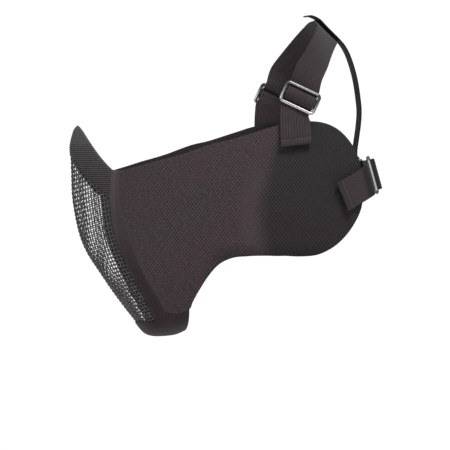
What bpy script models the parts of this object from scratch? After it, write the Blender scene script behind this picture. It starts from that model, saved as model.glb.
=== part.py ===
"""Mesh face mask with cloth wings and a webbing harness, as worn.

Metres, +Z up. The mask faces -Y and the wearer's left is +X. The origin is the seat over the
nose: on the middle plane, level with the top front corners of the wings.
Every outline is given as shares of the mask's length (y), height (z) and half width (x).
"""
import math

import bmesh
import bpy
from mathutils import Matrix, Vector

# Driving sizes
mask_length = 0.234      # front of the mesh to the back of the wings, and the scale of every y
mask_height = 0.169      # top of the nose trim to under the chin, and the scale of every z
half_width = 0.0795      # middle of the object to the cloth in front of the ears
harness_rise = 0.110     # origin up to the middle of the crown strap

# Walls and webbing
mesh_wall = 0.0014
trim_wall = 0.0026
band_wall = 0.0024
panel_wall = 0.0020
chin_wall = 0.0022
web_width = 0.025
web_wall = 0.0012
seam_gap = 0.0005        # between two pieces that are sewn edge to edge
layer_gap = 0.0004       # between two pieces that lie on each other

# Tri-glide buckles
bar_pitch = 0.0080       # one bar to the next
bar_width = 0.0025
bar_depth = 0.0025
buckle_side = 0.0028     # side rails beside the webbing
buckle_corner = 0.0022
thread_gap = 0.0004

# Mesh openings left in the solid, a few large ones for the fine net
gap_rows = 12
gaps_each_side = 5
bar_share = 0.34         # of a pitch that stays solid

# Free ends of the straps
tail_hem = 0.0045        # depth of the folded and sewn end
tail_lift = 0.0014       # how far a free end stands off what it lies on
tail_root_lift = 0.4     # share of that lift at the buckle

# Finish: base colour, roughness, metallic
finishes = {
    "wire_mesh": ((0.045, 0.045, 0.047), 0.42, 0.6),
    "ribbed_trim": ((0.070, 0.064, 0.065), 0.86, 0.0),
    "woven_cloth": ((0.066, 0.055, 0.058), 0.90, 0.0),
    "smooth_cloth": ((0.060, 0.053, 0.055), 0.84, 0.0),
    "webbing": ((0.052, 0.047, 0.049), 0.82, 0.0),
    "buckle": ((0.56, 0.55, 0.54), 0.24, 1.0),
}

# Front profile on the middle plane: z share, y share
profile_rows = [
    (0.199, -0.115), (0.187, -0.122), (0.175, -0.128), (0.109, -0.140), (0.066, -0.140),
    (-0.028, -0.138), (-0.133, -0.135), (-0.232, -0.124), (-0.327, -0.107), (-0.407, -0.081),
    (-0.492, -0.040), (-0.573, 0.000), (-0.653, 0.043), (-0.724, 0.084), (-0.800, 0.128),
]
# Rear boundary of the mesh and its trim: z share, y share
mesh_edge_rows = [
    (0.200, -0.012), (-0.009, -0.015), (-0.133, -0.020), (-0.218, -0.014), (-0.305, -0.004),
    (-0.379, 0.013), (-0.459, 0.039), (-0.530, 0.064), (-0.596, 0.089), (-0.660, 0.113),
    (-0.724, 0.137), (-0.800, 0.165),
]
# Plan of the skin from the mesh edge round the cheek to the back: y share, x share
plan_rows = [
    (-0.20, 0.15), (-0.085, 0.28), (0.00, 0.45), (0.030, 0.525), (0.068, 0.61), (0.137, 0.725),
    (0.239, 0.84), (0.376, 0.94), (0.504, 0.995), (0.607, 0.985), (0.701, 0.93),
    (0.769, 0.84), (0.829, 0.73), (0.90, 0.56),
]
barrel = 0.70            # how the skin draws in above and below the seat
chin_taper = 0.165       # and further in below the jaw
chin_start = 0.46
chin_span = 0.26
tip_round = 0.685        # roundness of the ridge down the front
bowl_share = 0.80        # how far the ridge turns into a round bowl at the chin
bowl_start = 0.25
bowl_span = 0.47

# Seams and rows of the front, as z shares on the profile and on the mesh edge
peak_z = 0.199
peak_edge_z = -0.009
mesh_top_z = 0.066
mesh_top_edge_z = -0.133
mesh_bottom_z = -0.724
trim_sag = 0.018
mesh_top_sag = 0.022

# Seam between the smooth band and the wing: y share, z share
band_rear_rows = [
    (0.011, -0.014), (0.009, -0.090), (0.012, -0.165), (0.031, -0.270), (0.052, -0.379),
    (0.084, -0.488), (0.113, -0.559), (0.137, -0.612), (0.155, -0.650), (0.169, -0.682),
]
# Upper edge of the wing, front to back: y share, z share
wing_top_rows = [
    (0.011, -0.014), (0.071, 0.009), (0.129, 0.033), (0.175, 0.050), (0.221, 0.069),
    (0.267, 0.092), (0.314, 0.114), (0.368, 0.131), (0.422, 0.154), (0.476, 0.177),
    (0.528, 0.199), (0.587, 0.213), (0.647, 0.219), (0.699, 0.208), (0.746, 0.175),
    (0.786, 0.118), (0.812, 0.052), (0.829, -0.028),
]
# Lower edge of the wing, each row under the same row above
wing_bottom_rows = [
    (0.169, -0.682), (0.207, -0.688), (0.245, -0.667), (0.256, -0.630), (0.274, -0.578),
    (0.304, -0.507), (0.339, -0.452), (0.386, -0.422), (0.440, -0.416), (0.494, -0.414),
    (0.553, -0.415), (0.612, -0.418), (0.671, -0.410), (0.724, -0.376), (0.766, -0.327),
    (0.799, -0.267), (0.822, -0.204), (0.831, -0.142),
]
band_bow_reach = 0.36    # share of the wing over which the seam's bow fades out

# Under side of the chin piece on the middle plane: y share, z share
keel_rows = [
    (0.084, -0.724), (0.100, -0.752), (0.117, -0.778), (0.139, -0.789), (0.170, -0.790),
    (0.215, -0.783), (0.249, -0.763),
]

# Soft folds of the wing: middle y, middle z, turn in degrees, half length, half width, height
# (lengths as shares of the mask's height, the height as a share of the wing's wall)
fold_rows = [
    (0.505, -0.060, 84, 0.42, 0.085, 0.55),
    (0.440, -0.330, 62, 0.16, 0.035, 0.50),
    (0.475, -0.300, 70, 0.14, 0.030, -0.45),
    (0.390, -0.370, 35, 0.12, 0.040, 0.40),
    (0.300, -0.100, 20, 0.20, 0.060, 0.25),
    (0.700, -0.060, 100, 0.18, 0.060, -0.35),
]

# Crown strap from the buckle to the middle plane: x share of half width, y share of length,
# z share of harness rise, across tilt in degrees, roll about its run in degrees
crown_rows = [
    (0.965, 0.6360, 0.683, -25.5, 10), (0.855, 0.6680, 0.789, -29, 22),
    (0.680, 0.6945, 0.878, -34, 25), (0.470, 0.7150, 0.944, -39, 20),
    (0.240, 0.7270, 0.983, -43, 2), (0.000, 0.7370, 0.995, -45, 0),
]
# End of the back strap in front of the crown strap, then how it goes on behind it, on the
# middle plane: y share of length, z share of harness rise
back_end_rows = [(0.6655, 1.1040), (0.6830, 1.1065)]
back_rows = [
    (0.7970, 0.885), (0.8130, 0.820), (0.8280, 0.728), (0.8390, 0.634), (0.8470, 0.526),
    (0.8520, 0.418), (0.8490, 0.310), (0.8420, 0.202), (0.8370, 0.117), (0.8405, 0.045),
    (0.8500, -0.040), (0.8590, -0.105), (0.8660, -0.150),
]
# Where it lies on the crown strap, as shares of its width from front to back
back_seat_shares = (-0.46, -0.15, 0.16, 0.47)
# Upper buckle, its tab and free end
upper_buckle_place = (1.015, 0.6045, 0.505)      # x, y, z shares as for the crown strap
upper_buckle_run = (-0.10, 0.42, 0.905)
upper_buckle_tilt = -24.9
# Where tab and free end lie on the wing, from the buckle down: y, z shares, tilt in degrees
upper_lie_rows = [(0.5865, 0.226, -13), (0.5870, 0.198, -7), (0.5875, 0.168, -1),
                  (0.5875, 0.137, 4), (0.5870, 0.110, 7)]

# Lower strap, its buckle, tab and free end
lower_strap_rows = [(0.000, 0.8700), (0.100, 0.8705), (0.200, 0.8725), (0.290, 0.8745)]
lower_strap_z = -0.035                           # share of the mask's height
lower_buckle_place = (0.470, 0.8770, -0.033)     # z as a share of the mask's height
lower_buckle_run = (-0.975, 0.165, 0.060)
lower_tilt = -74.6
lower_lie_rows = [(0.848, -0.056, -73), (0.826, -0.076, -71.5), (0.801, -0.095, -70),
                  (0.774, -0.114, -68), (0.748, -0.132, -66.5)]
tab_rows = 3                                     # of these rows, how many the sewn tab takes

# How the webbing goes through a buckle, seen from its side
thread_turns = (30, 60)                          # round the middle bar, in degrees
dip_rows = [(0.0004, 0.95), (0.0015, 0.55)]      # past the outer bar: distance, depth share
tab_turns = (-105, -70, -35, 0, 35, 70, 105, 132)
tab_lead_rows = [(-1.2, 1.0), (0.0, 1.0), (1.0, 0.97), (1.9, 0.83)]  # bar widths, depth share
hem_turns = (-45, 0, 45, 90)
bar_edge = 0.28                                  # bevel of a bar as a share of its depth

# Fineness of the surfaces
trim_steps = (4, 12)                             # up the trim, across it
band_steps = (20, 2)
wing_steps = (32, 10)
chin_steps = (8, 2, 5, 6)                        # net, band, wing, under the chin
chin_wing_rows = 2                               # rows of the wing's lower edge sewn to the chin
strap_steps = 2
slot_corner = 0.0005
probe = 0.0005                                   # step for slopes of the skin
weld = 1e-6
mirror_weld = 0.00005
crease = 40                                      # degrees

side_names = (("left", 1), ("right", -1))


def value_at(rows, key):
    """Smooth value of a table whose first column is the key, in any order."""
    rows = sorted(rows)
    last = len(rows) - 1
    if key <= rows[0][0]:
        return rows[0][1]
    if key >= rows[last][0]:
        return rows[last][1]
    i = max(k for k in range(last) if rows[k][0] <= key)

    def slope(k):
        a, b = rows[max(k - 1, 0)], rows[min(k + 1, last)]
        return (b[1] - a[1]) / (b[0] - a[0])

    (k0, v0), (k1, v1) = rows[i], rows[i + 1]
    width = k1 - k0
    t = (key - k0) / width
    return ((2 * t ** 3 - 3 * t ** 2 + 1) * v0 + (t ** 3 - 2 * t ** 2 + t) * width * slope(i)
            + (3 * t ** 2 - 2 * t ** 3) * v1 + (t ** 3 - t ** 2) * width * slope(i + 1))


def point_along(rows, share):
    """Point of a smooth curve through the rows, at a share of its count of spans."""
    last = len(rows) - 1
    place = min(max(share, 0.0), 1.0) * last
    i = min(int(place), last - 1)
    t = place - i
    p = [rows[min(max(i + k, 0), last)] for k in (-1, 0, 1, 2)]
    return tuple(
        0.5 * (2 * b + (c - a) * t + (2 * a - 5 * b + 4 * c - d) * t ** 2
               + (3 * b - a - 3 * c + d) * t ** 3)
        for a, b, c, d in zip(*p))


def front_y(z):
    return mask_length * value_at(profile_rows, z / mask_height)


def mesh_edge_y(z):
    return mask_length * value_at(mesh_edge_rows, z / mask_height)


def wing_x(y, z):
    """Half width of the cloth skin at a place of the side view."""
    rise = z / mask_height
    low = max(0.0, -rise - chin_start) / chin_span
    return (half_width * value_at(plan_rows, y / mask_length)
            * (1 - barrel * rise ** 2) * (1 - chin_taper * low ** 2))


def skin_x(y, z):
    """Half width of the whole skin: a ridged front, then the cheek and the wing."""
    edge = mesh_edge_y(z)
    if y >= edge:
        return wing_x(y, z)
    front = front_y(z)
    s = max(0.0, (y - front) / (edge - front))
    ridge = math.sqrt((s * s + 2 * tip_round * s) / (1 + 2 * tip_round))
    bowl = math.sqrt(s * (2 - s))
    low = min(max((-z / mask_height - bowl_start) / bowl_span, 0.0), 1.0)
    return wing_x(edge, z) * (ridge + (bowl - ridge) * bowl_share * low)


def skin_normal(y, z):
    slope_y = (skin_x(y + probe, z) - skin_x(y - probe, z)) / (2 * probe)
    slope_z = (skin_x(y, z + probe) - skin_x(y, z - probe)) / (2 * probe)
    return Vector((1, -slope_y, -slope_z)).normalized()


def fold_height(y, z):
    """How far the soft folds lift the wing at a place of the side view."""
    total = 0.0
    for mid_y, mid_z, turn, half_length, half_wide, height in fold_rows:
        dy = y - mid_y * mask_length
        dz = z - mid_z * mask_height
        a = math.radians(turn)
        run = (dy * math.cos(a) + dz * math.sin(a)) / (half_length * mask_height)
        off = (dz * math.cos(a) - dy * math.sin(a)) / (half_wide * mask_height)
        total += height * panel_wall * math.exp(-run ** 2 - off ** 2)
    return total


def wing_point(y, z, standoff=0.0):
    """Point over the wing's middle surface, folds included."""
    out = standoff + fold_height(y, z)
    return Vector((wing_x(y, z), y, z)) + skin_normal(y, z) * out


def ridge_share(u):
    """Share of the way back at which the ridge has the share u of its width."""
    return math.sqrt(tip_round ** 2 + (1 + 2 * tip_round) * u * u) - tip_round


def front_point(row, u):
    """Point of the front at a row of (profile z, edge y or None, edge z, sag) and a share u."""
    profile_z, edge_y, edge_z, sag = row
    z0 = profile_z * mask_height
    z1 = edge_z * mask_height
    y0 = front_y(z0)
    y1 = mesh_edge_y(z1) if edge_y is None else edge_y * mask_length
    s = ridge_share(u)
    y = y0 + (y1 - y0) * s
    z = z0 + (z1 - z0) * s - sag * mask_height * 4 * s * (1 - s)
    return Vector((skin_x(y, z) if u > 0 else 0.0, y, z))


def inset_shares(length, count, start=True, end=True):
    """Even shares from 0 to 1 that leave half a seam gap at the chosen ends."""
    inset = seam_gap / 2 / length
    low = inset if start else 0.0
    high = 1 - inset if end else 1.0
    return [low + (high - low) * i / count for i in range(count + 1)]


def material(name):
    colour, roughness, metallic = finishes[name]
    mat = bpy.data.materials.get(name) or bpy.data.materials.new(name)
    mat.use_nodes = True
    mat.diffuse_color = (*colour, 1)
    shader = mat.node_tree.nodes["Principled BSDF"]
    shader.inputs["Base Color"].default_value = (*colour, 1)
    shader.inputs["Roughness"].default_value = roughness
    shader.inputs["Metallic"].default_value = metallic
    return mat


def add_object(name, mesh, finish, collection):
    mesh.materials.append(material(finish))
    mesh.shade_smooth()
    mesh.set_sharp_from_angle(angle=math.radians(crease))
    piece = bpy.data.objects.new(name, mesh)
    collection.objects.link(piece)
    return piece


def grid_mesh(name, rows, leave_out=None):
    """Open surface through rows of points. Points that coincide are merged."""
    bm = bmesh.new()
    verts = [[bm.verts.new(p) for p in row] for row in rows]
    for i in range(len(rows) - 1):
        for j in range(len(rows[0]) - 1):
            if leave_out and leave_out(i, j):
                continue
            bm.faces.new((verts[i][j], verts[i][j + 1], verts[i + 1][j + 1], verts[i + 1][j]))
    bmesh.ops.remove_doubles(bm, verts=bm.verts, dist=weld)
    loose = [v for v in bm.verts if not v.link_faces]
    bmesh.ops.delete(bm, geom=loose, context="VERTS")
    mesh = bpy.data.meshes.new(name)
    bm.to_mesh(mesh)
    bm.free()
    return mesh


def add_wall(piece, wall):
    solid = piece.modifiers.new("wall", "SOLIDIFY")
    solid.thickness = wall
    solid.offset = 0
    return piece


def add_sheet(name, rows, wall, finish, collection, whole=False, leave_out=None):
    """Cloth, mesh or webbing: a surface with a wall. A whole one is mirrored over x = 0."""
    piece = add_object(name, grid_mesh(name, rows, leave_out), finish, collection)
    if whole:
        mirror = piece.modifiers.new("both sides", "MIRROR")
        mirror.use_axis = (True, False, False)
        mirror.use_clip = True
        mirror.merge_threshold = mirror_weld
    return add_wall(piece, wall)


def mirrored(rows, side):
    """Rows for the left side as they are, and for the right side turned over."""
    if side > 0:
        return rows
    return [[Vector((-p.x, p.y, p.z)) for p in reversed(row)] for row in rows]


def front_rows(lower, upper, count, shares, start_gap, end_gap):
    """Rows of the front from one seam up to another."""
    span = abs(upper[0] - lower[0]) * mask_height
    rows = []
    for w in inset_shares(span, count, start_gap, end_gap):
        row = tuple(None if a is None else a + (b - a) * w for a, b in zip(lower, upper))
        rows.append([front_point(row, u) for u in shares])
    return rows


def middle_first(shares):
    """Shares that start on the middle plane and stop half a seam gap before the edge."""
    inset = seam_gap / 2 / skin_x(mesh_edge_y(0.0), 0.0)
    return [min(u, 1 - inset) for u in shares]


def add_mesh_panel(collection):
    """Net over nose and mouth, with a few large gaps for its fine ones."""
    top = (mesh_top_z, None, mesh_top_edge_z, mesh_top_sag)
    bottom = (mesh_bottom_z, None, mesh_bottom_z, 0.0)
    row_lines = [0.0]
    for i in range(gap_rows):
        row_lines += [(i + bar_share) / (gap_rows + bar_share),
                      (i + 1) / (gap_rows + bar_share)]
    row_lines.append(1.0)
    across = [0.0, bar_share / 2]
    for i in range(gaps_each_side):
        across += [i + 1 - bar_share / 2, i + 1 + bar_share / 2]
    across = [a / across[-1] for a in across]
    span = (mesh_top_z - mesh_bottom_z) * mask_height
    inset = seam_gap / 2 / span
    rows = []
    for line in row_lines:
        w = inset + (1 - 2 * inset) * line
        row = (top[0] + (bottom[0] - top[0]) * w, None, top[2] + (bottom[2] - top[2]) * w,
               top[3] * (1 - w) ** 2)
        rows.append([front_point(row, u) for u in middle_first(across)])

    def is_gap(i, j):
        return i % 2 == 1 and j % 2 == 1

    add_sheet("mesh_panel", rows, mesh_wall, "wire_mesh", collection, whole=True,
              leave_out=is_gap)


def add_nose_trim(collection):
    lower = (mesh_top_z, mesh_edge_y(mesh_top_edge_z * mask_height) / mask_length,
             mesh_top_edge_z, mesh_top_sag)
    upper = (peak_z, mesh_edge_y(peak_edge_z * mask_height) / mask_length,
             peak_edge_z, trim_sag)
    up, across = trim_steps
    shares = middle_first([i / across for i in range(across + 1)])
    rows = front_rows(lower, upper, up, shares, True, False)
    add_sheet("nose_trim", rows, trim_wall, "ribbed_trim", collection, whole=True)


def band_line(share):
    """Ends of one line across the smooth band: its mesh side and its wing side."""
    z = (peak_edge_z + (mesh_bottom_z - peak_edge_z) * share) * mask_height
    rear = point_along(band_rear_rows, share)
    return (mesh_edge_y(z), z), (rear[0] * mask_length, rear[1] * mask_height)


def add_edge_band(side_name, side, collection):
    length = (peak_edge_z - mesh_bottom_z) * mask_height
    rows = []
    for share in inset_shares(length, band_steps[0], False, True):
        (y0, z0), (y1, z1) = band_line(share)
        width = math.dist((y0, z0, skin_x(y0, z0)), (y1, z1, skin_x(y1, z1)))
        row = []
        for u in inset_shares(width, band_steps[1]):
            y = y0 + (y1 - y0) * u
            z = z0 + (z1 - z0) * u
            row.append(Vector((wing_x(y, z), y, z)))
        rows.append(row)
    add_sheet(f"edge_band_{side_name}", mirrored(rows, side), band_wall, "smooth_cloth",
              collection)


def wing_place(u, v):
    """Side view place of the wing: u from front to back, v from the lower edge up."""
    low = point_along(wing_bottom_rows, u)
    high = point_along(wing_top_rows, u)
    seam = point_along(band_rear_rows, 1 - v)
    first, last = band_rear_rows[-1], band_rear_rows[0]
    fade = max(0.0, 1 - u / band_bow_reach) ** 2
    place = [low[k] + (high[k] - low[k]) * v
             + fade * (seam[k] - first[k] - (last[k] - first[k]) * v) for k in (0, 1)]
    return place[0] * mask_length, place[1] * mask_height


def add_side_panel(side_name, side, collection):
    columns, lines = wing_steps
    rows = []
    front_inset = seam_gap / 2 / mask_length
    seam_height = (band_rear_rows[0][1] - band_rear_rows[-1][1]) * mask_height
    sewn = (chin_wing_rows + 0.5) / (len(wing_bottom_rows) - 1)
    for i in range(columns + 1):
        u = front_inset + (1 - front_inset) * i / columns
        low = seam_gap / 2 / seam_height if u < sewn else 0.0
        row = []
        for j in range(lines + 1):
            v = low + (1 - low) * j / lines
            y, z = wing_place(u, v)
            row.append(wing_point(y, z))
        rows.append(row)
    add_sheet(f"side_panel_{side_name}", mirrored(rows, side), panel_wall, "woven_cloth",
              collection)


def chin_rim():
    """Upper edge of the chin piece from the middle of the front round to its free end."""
    net, band, wing, _ = chin_steps
    bottom = (mesh_bottom_z, None, mesh_bottom_z, 0.0)
    rim = [front_point(bottom, i / net) for i in range(net + 1)]
    y0, z0 = rim[-1].y, rim[-1].z
    y1, z1 = band_rear_rows[-1][0] * mask_length, band_rear_rows[-1][1] * mask_height
    for i in range(1, band + 1):
        y, z = y0 + (y1 - y0) * i / band, z0 + (z1 - z0) * i / band
        rim.append(Vector((wing_x(y, z), y, z)))
    sewn = chin_wing_rows / (len(wing_bottom_rows) - 1)
    for i in range(1, wing + 1):
        y, z = point_along(wing_bottom_rows, sewn * i / wing)
        y, z = y * mask_length, z * mask_height
        rim.append(Vector((wing_x(y, z), y, z)))
    return rim


def add_chin_piece(collection):
    rim = chin_rim()
    last = len(rim) - 1
    under = chin_steps[-1]
    rows = []
    for i, p in enumerate(rim):
        keel_y, keel_z = point_along(keel_rows, i / last)
        keel_y, keel_z = keel_y * mask_length, keel_z * mask_height
        drop = math.dist((p.x, p.y, p.z), (0, keel_y, keel_z))
        start = seam_gap / drop if drop > seam_gap else 0.0
        row = []
        for j in range(under + 1):
            w = start + (1 - start) * j / under
            turn = w * math.pi / 2
            row.append(Vector((p.x * math.cos(turn) if j < under else 0.0,
                               p.y + (keel_y - p.y) * w,
                               p.z + (keel_z - p.z) * math.sin(turn))))
        rows.append(row)
    add_sheet("chin_piece", rows, chin_wall, "smooth_cloth", collection, whole=True)


def tilt_vector(degrees):
    """Direction across a strap in the side view, from its tilt."""
    a = math.radians(degrees)
    return Vector((0, math.cos(a), math.sin(a)))


class Buckle:
    """Place of a tri-glide: run along the strap, across it, and out of its face."""

    def __init__(self, origin, run, tilt):
        self.origin = Vector(origin)
        self.run = Vector(run).normalized()
        across = tilt_vector(tilt)
        self.across = (across - self.run * across.dot(self.run)).normalized()
        self.out = self.across.cross(self.run).normalized()

    def station(self, along, out):
        return self.origin + self.run * along + self.out * out, self.across

    def matrix(self):
        turned = Matrix((self.across, self.run, self.out)).transposed().to_4x4()
        return Matrix.Translation(self.origin) @ turned


def arc(radius, angles):
    return [(radius * math.cos(math.radians(a)), radius * math.sin(math.radians(a)))
            for a in angles]


behind = -(bar_depth / 2 + thread_gap + web_wall / 2)
tab_radius = bar_depth / 2 * (1 + bar_edge) + thread_gap + web_wall / 2
strap_radius = tab_radius + web_wall + thread_gap
tab_behind = behind - web_wall - thread_gap * 1.5


def strap_thread():
    """Running strap: behind the outer bar, over the middle one, behind the near bar."""
    first = [(bar_pitch + bar_width, behind), (bar_pitch, behind)]
    first += [(bar_pitch - bar_width / 2 - past, behind * depth) for past, depth in dip_rows]
    first += [(strap_radius + thread_gap, 0.0)] + arc(strap_radius, thread_turns)
    return first + [(0.0, strap_radius)] + [(-s, n) for s, n in reversed(first)]


def tab_thread():
    """Sewn tab: behind the near bar and round the middle one."""
    lead = [(-bar_pitch + bar_width * past, tab_behind * depth)
            for past, depth in tab_lead_rows]
    return lead + arc(tab_radius, tab_turns)


def strap_row(centre, across):
    return [centre + across * (web_width * (k / 2 - 0.5)) for k in range(3)]


def lying_row(y_share, z_share, tilt, standoff):
    """Row of a strap that lies over the wing, at its full width on the skin."""
    y, z = y_share * mask_length, z_share * mask_height
    across = tilt_vector(tilt)
    ends = [wing_point(y + across.y * step, z + across.z * step) for step in (-probe, probe)]
    stretch = (ends[1] - ends[0]).length / (2 * probe)
    reach = web_width / stretch
    return [wing_point(y + across.y * reach * (k / 2 - 0.5),
                       z + across.z * reach * (k / 2 - 0.5), standoff) for k in range(3)]


def smooth_rows(rows, steps):
    """More rows on smooth curves through the given ones."""
    flat = [[c for p in row for c in p] for row in rows]
    count = (len(rows) - 1) * steps
    made = []
    for i in range(count + 1):
        values = point_along(flat, i / count)
        made.append([Vector(values[k:k + 3]) for k in range(0, len(values), 3)])
    return made


def hem_rows(rows):
    """Turns the last row back over itself, outward, as a folded and sewn end."""
    end, before = rows[-1], rows[-2]
    run = (end[1] - before[1]).normalized()
    across = (end[2] - end[0]).normalized()
    out = across.cross(run).normalized()
    if out.x < 0:
        out = -out
    radius = (web_wall + layer_gap) / 2
    turned = []
    for angle in hem_turns:
        a = math.radians(angle)
        shift = run * (radius * math.cos(a)) + out * (radius * (1 + math.sin(a)))
        turned.append([p + shift for p in end])
    turned.append([p + out * (2 * radius) - run * tail_hem for p in end])
    return turned


on_wing = panel_wall / 2 + layer_gap + web_wall / 2
on_tab = on_wing + web_wall + layer_gap * 1.5


def upper_buckle():
    x, y, z = upper_buckle_place
    return Buckle((x * half_width, y * mask_length, z * harness_rise), upper_buckle_run,
                  upper_buckle_tilt)


def lower_buckle():
    x, y, z = lower_buckle_place
    return Buckle((x * half_width, y * mask_length, z * mask_height), lower_buckle_run,
                  lower_tilt)


def tail_rows(table):
    last = len(table) - 1
    rows = []
    for i, (y, z, tilt) in enumerate(table):
        lift = (i / last) ** 2 + tail_root_lift * (1 - i / last) ** 2
        rows.append(lying_row(y, z, tilt, on_tab + tail_lift * lift))
    return rows


def crown_strap_rows():
    """Rows of the crown strap from the buckle to the middle plane."""
    centres = [Vector((x * half_width, y * mask_length, z * harness_rise))
               for x, y, z, _, _ in crown_rows]
    rows = []
    for i, (_, _, _, tilt, roll) in enumerate(crown_rows):
        run = (centres[min(i + 1, len(centres) - 1)] - centres[max(i - 1, 0)]).normalized()
        across = tilt_vector(tilt)
        if roll:
            across = Matrix.Rotation(math.radians(roll), 3, run) @ across
        rows.append(strap_row(centres[i], across))
    return rows


def add_threaded_strap(name, free, buckle, table, collection):
    """Strap from the middle plane, through a buckle, to its free end on the wing."""
    threaded = [strap_row(*buckle.station(s, n)) for s, n in strap_thread()]
    rows = (smooth_rows(free + threaded[:1], strap_steps) + threaded[1:-2]
            + smooth_rows(threaded[-2:] + tail_rows(table), strap_steps))
    add_sheet(name, rows + hem_rows(rows), web_wall, "webbing", collection, whole=True)


def add_crown_strap(collection):
    """One strap over the crown, through both upper buckles, with free ends."""
    free = list(reversed(crown_strap_rows()))
    add_threaded_strap("crown_strap", free, upper_buckle(), upper_lie_rows, collection)


def add_lower_strap(collection):
    """One strap behind the nape, through both lower buckles, with free ends."""
    free = [strap_row(Vector((x * half_width, y * mask_length, lower_strap_z * mask_height)),
                      tilt_vector(lower_tilt)) for x, y in lower_strap_rows]
    add_threaded_strap("lower_strap", free, lower_buckle(), lower_lie_rows, collection)


def add_back_strap(collection):
    """Strap down the middle of the back, from over the crown strap to inside the lower one."""
    _, crown_y, crown_z, crown_tilt, _ = crown_rows[-1]
    along = tilt_vector(crown_tilt)
    out = Vector((0, -along.z, along.y))
    seat = Vector((0, crown_y * mask_length, crown_z * harness_rise))
    seat += out * (web_wall + 2 * layer_gap)
    route = [Vector((0, y * mask_length, z * harness_rise)) for y, z in back_end_rows]
    route += [seat + along * (web_width * k) for k in back_seat_shares]
    route += [Vector((0, y * mask_length, z * harness_rise)) for y, z in back_rows]
    rows = smooth_rows([[p, p + Vector((web_width / 2, 0, 0))] for p in route], strap_steps)
    add_sheet("back_strap", rows, web_wall, "webbing", collection, whole=True)


def add_tab(name, buckle, table, side, collection):
    """Short webbing loop sewn to the wing, which holds a buckle by its middle bar."""
    sewn = [lying_row(y, z, tilt, on_wing) for y, z, tilt in reversed(table[:tab_rows])]
    threaded = [strap_row(*buckle.station(s, n)) for s, n in tab_thread()]
    rows = smooth_rows(sewn + threaded[:2], strap_steps) + threaded[2:]
    add_sheet(name, mirrored(rows, side), web_wall, "webbing", collection)


def rounded_rectangle(half_wide, low, high, radius):
    """Corner points of a rounded rectangle, round its corners in steps."""
    points = []
    corners = [(half_wide - radius, high - radius, 0), (radius - half_wide, high - radius, 90),
               (radius - half_wide, low + radius, 180), (half_wide - radius, low + radius, 270)]
    for cx, cy, start in corners:
        for k in range(3):
            a = math.radians(start + 45 * k)
            points.append((cx + radius * math.cos(a), cy + radius * math.sin(a)))
    return points


def add_buckle(name, buckle, side, collection):
    """Tri-glide: a rounded frame with two slots, cut out of one plate."""
    half_wide = web_width / 2 + thread_gap + buckle_side
    half_run = bar_pitch + bar_width / 2
    slot_half = web_width / 2 + thread_gap
    slot_low = bar_width / 2
    slot_high = bar_pitch - bar_width / 2
    outlines = [rounded_rectangle(half_wide, -half_run, half_run, buckle_corner),
                rounded_rectangle(slot_half, slot_low, slot_high, slot_corner),
                rounded_rectangle(slot_half, -slot_high, -slot_low, slot_corner)]
    rim = bar_depth * bar_edge
    curve = bpy.data.curves.new(name, "CURVE")
    curve.dimensions = "2D"
    curve.fill_mode = "BOTH"
    curve.extrude = bar_depth / 2 - rim
    curve.bevel_depth = rim
    curve.bevel_resolution = 0
    curve.offset = -rim
    for outline in outlines:
        spline = curve.splines.new("POLY")
        spline.points.add(len(outline) - 1)
        for point, (x, y) in zip(spline.points, outline):
            point.co = (x, y, 0, 1)
        spline.use_cyclic_u = True
    flat = bpy.data.objects.new(name + "_outline", curve)
    collection.objects.link(flat)
    evaluated = flat.evaluated_get(bpy.context.evaluated_depsgraph_get())
    mesh = bpy.data.meshes.new_from_object(evaluated)
    bpy.data.objects.remove(flat)
    bm = bmesh.new()
    bm.from_mesh(mesh)
    bmesh.ops.remove_doubles(bm, verts=bm.verts, dist=weld)
    bm.transform(buckle.matrix())
    if side < 0:
        bm.transform(Matrix.Scale(-1, 4, (1, 0, 0)))
    bmesh.ops.recalc_face_normals(bm, faces=bm.faces)
    if bm.calc_volume(signed=True) < 0:
        bmesh.ops.reverse_faces(bm, faces=bm.faces)
    bm.to_mesh(mesh)
    bm.free()
    mesh.materials.clear()
    add_object(name, mesh, "buckle", collection)


def build():
    for old in list(bpy.data.objects):
        bpy.data.objects.remove(old, do_unlink=True)
    collection = bpy.data.collections.new("mesh_face_mask")
    bpy.context.scene.collection.children.link(collection)
    add_mesh_panel(collection)
    add_nose_trim(collection)
    add_chin_piece(collection)
    for side_name, side in side_names:
        add_edge_band(side_name, side, collection)
        add_side_panel(side_name, side, collection)
        add_tab(f"upper_tab_{side_name}", upper_buckle(), upper_lie_rows, side, collection)
        add_tab(f"lower_tab_{side_name}", lower_buckle(), lower_lie_rows, side, collection)
        add_buckle(f"upper_buckle_{side_name}", upper_buckle(), side, collection)
        add_buckle(f"lower_buckle_{side_name}", lower_buckle(), side, collection)
    add_crown_strap(collection)
    add_lower_strap(collection)
    add_back_strap(collection)


build()
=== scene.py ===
"""Looks of the mesh face mask, as worn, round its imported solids.

Metres, +Z up. The mask faces -Y and the wearer's left is +X, as in the frame.
"""

import math
from functools import partialmethod

import bmesh
import bpy
import numpy as np
from mathutils import Matrix, Vector


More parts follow.
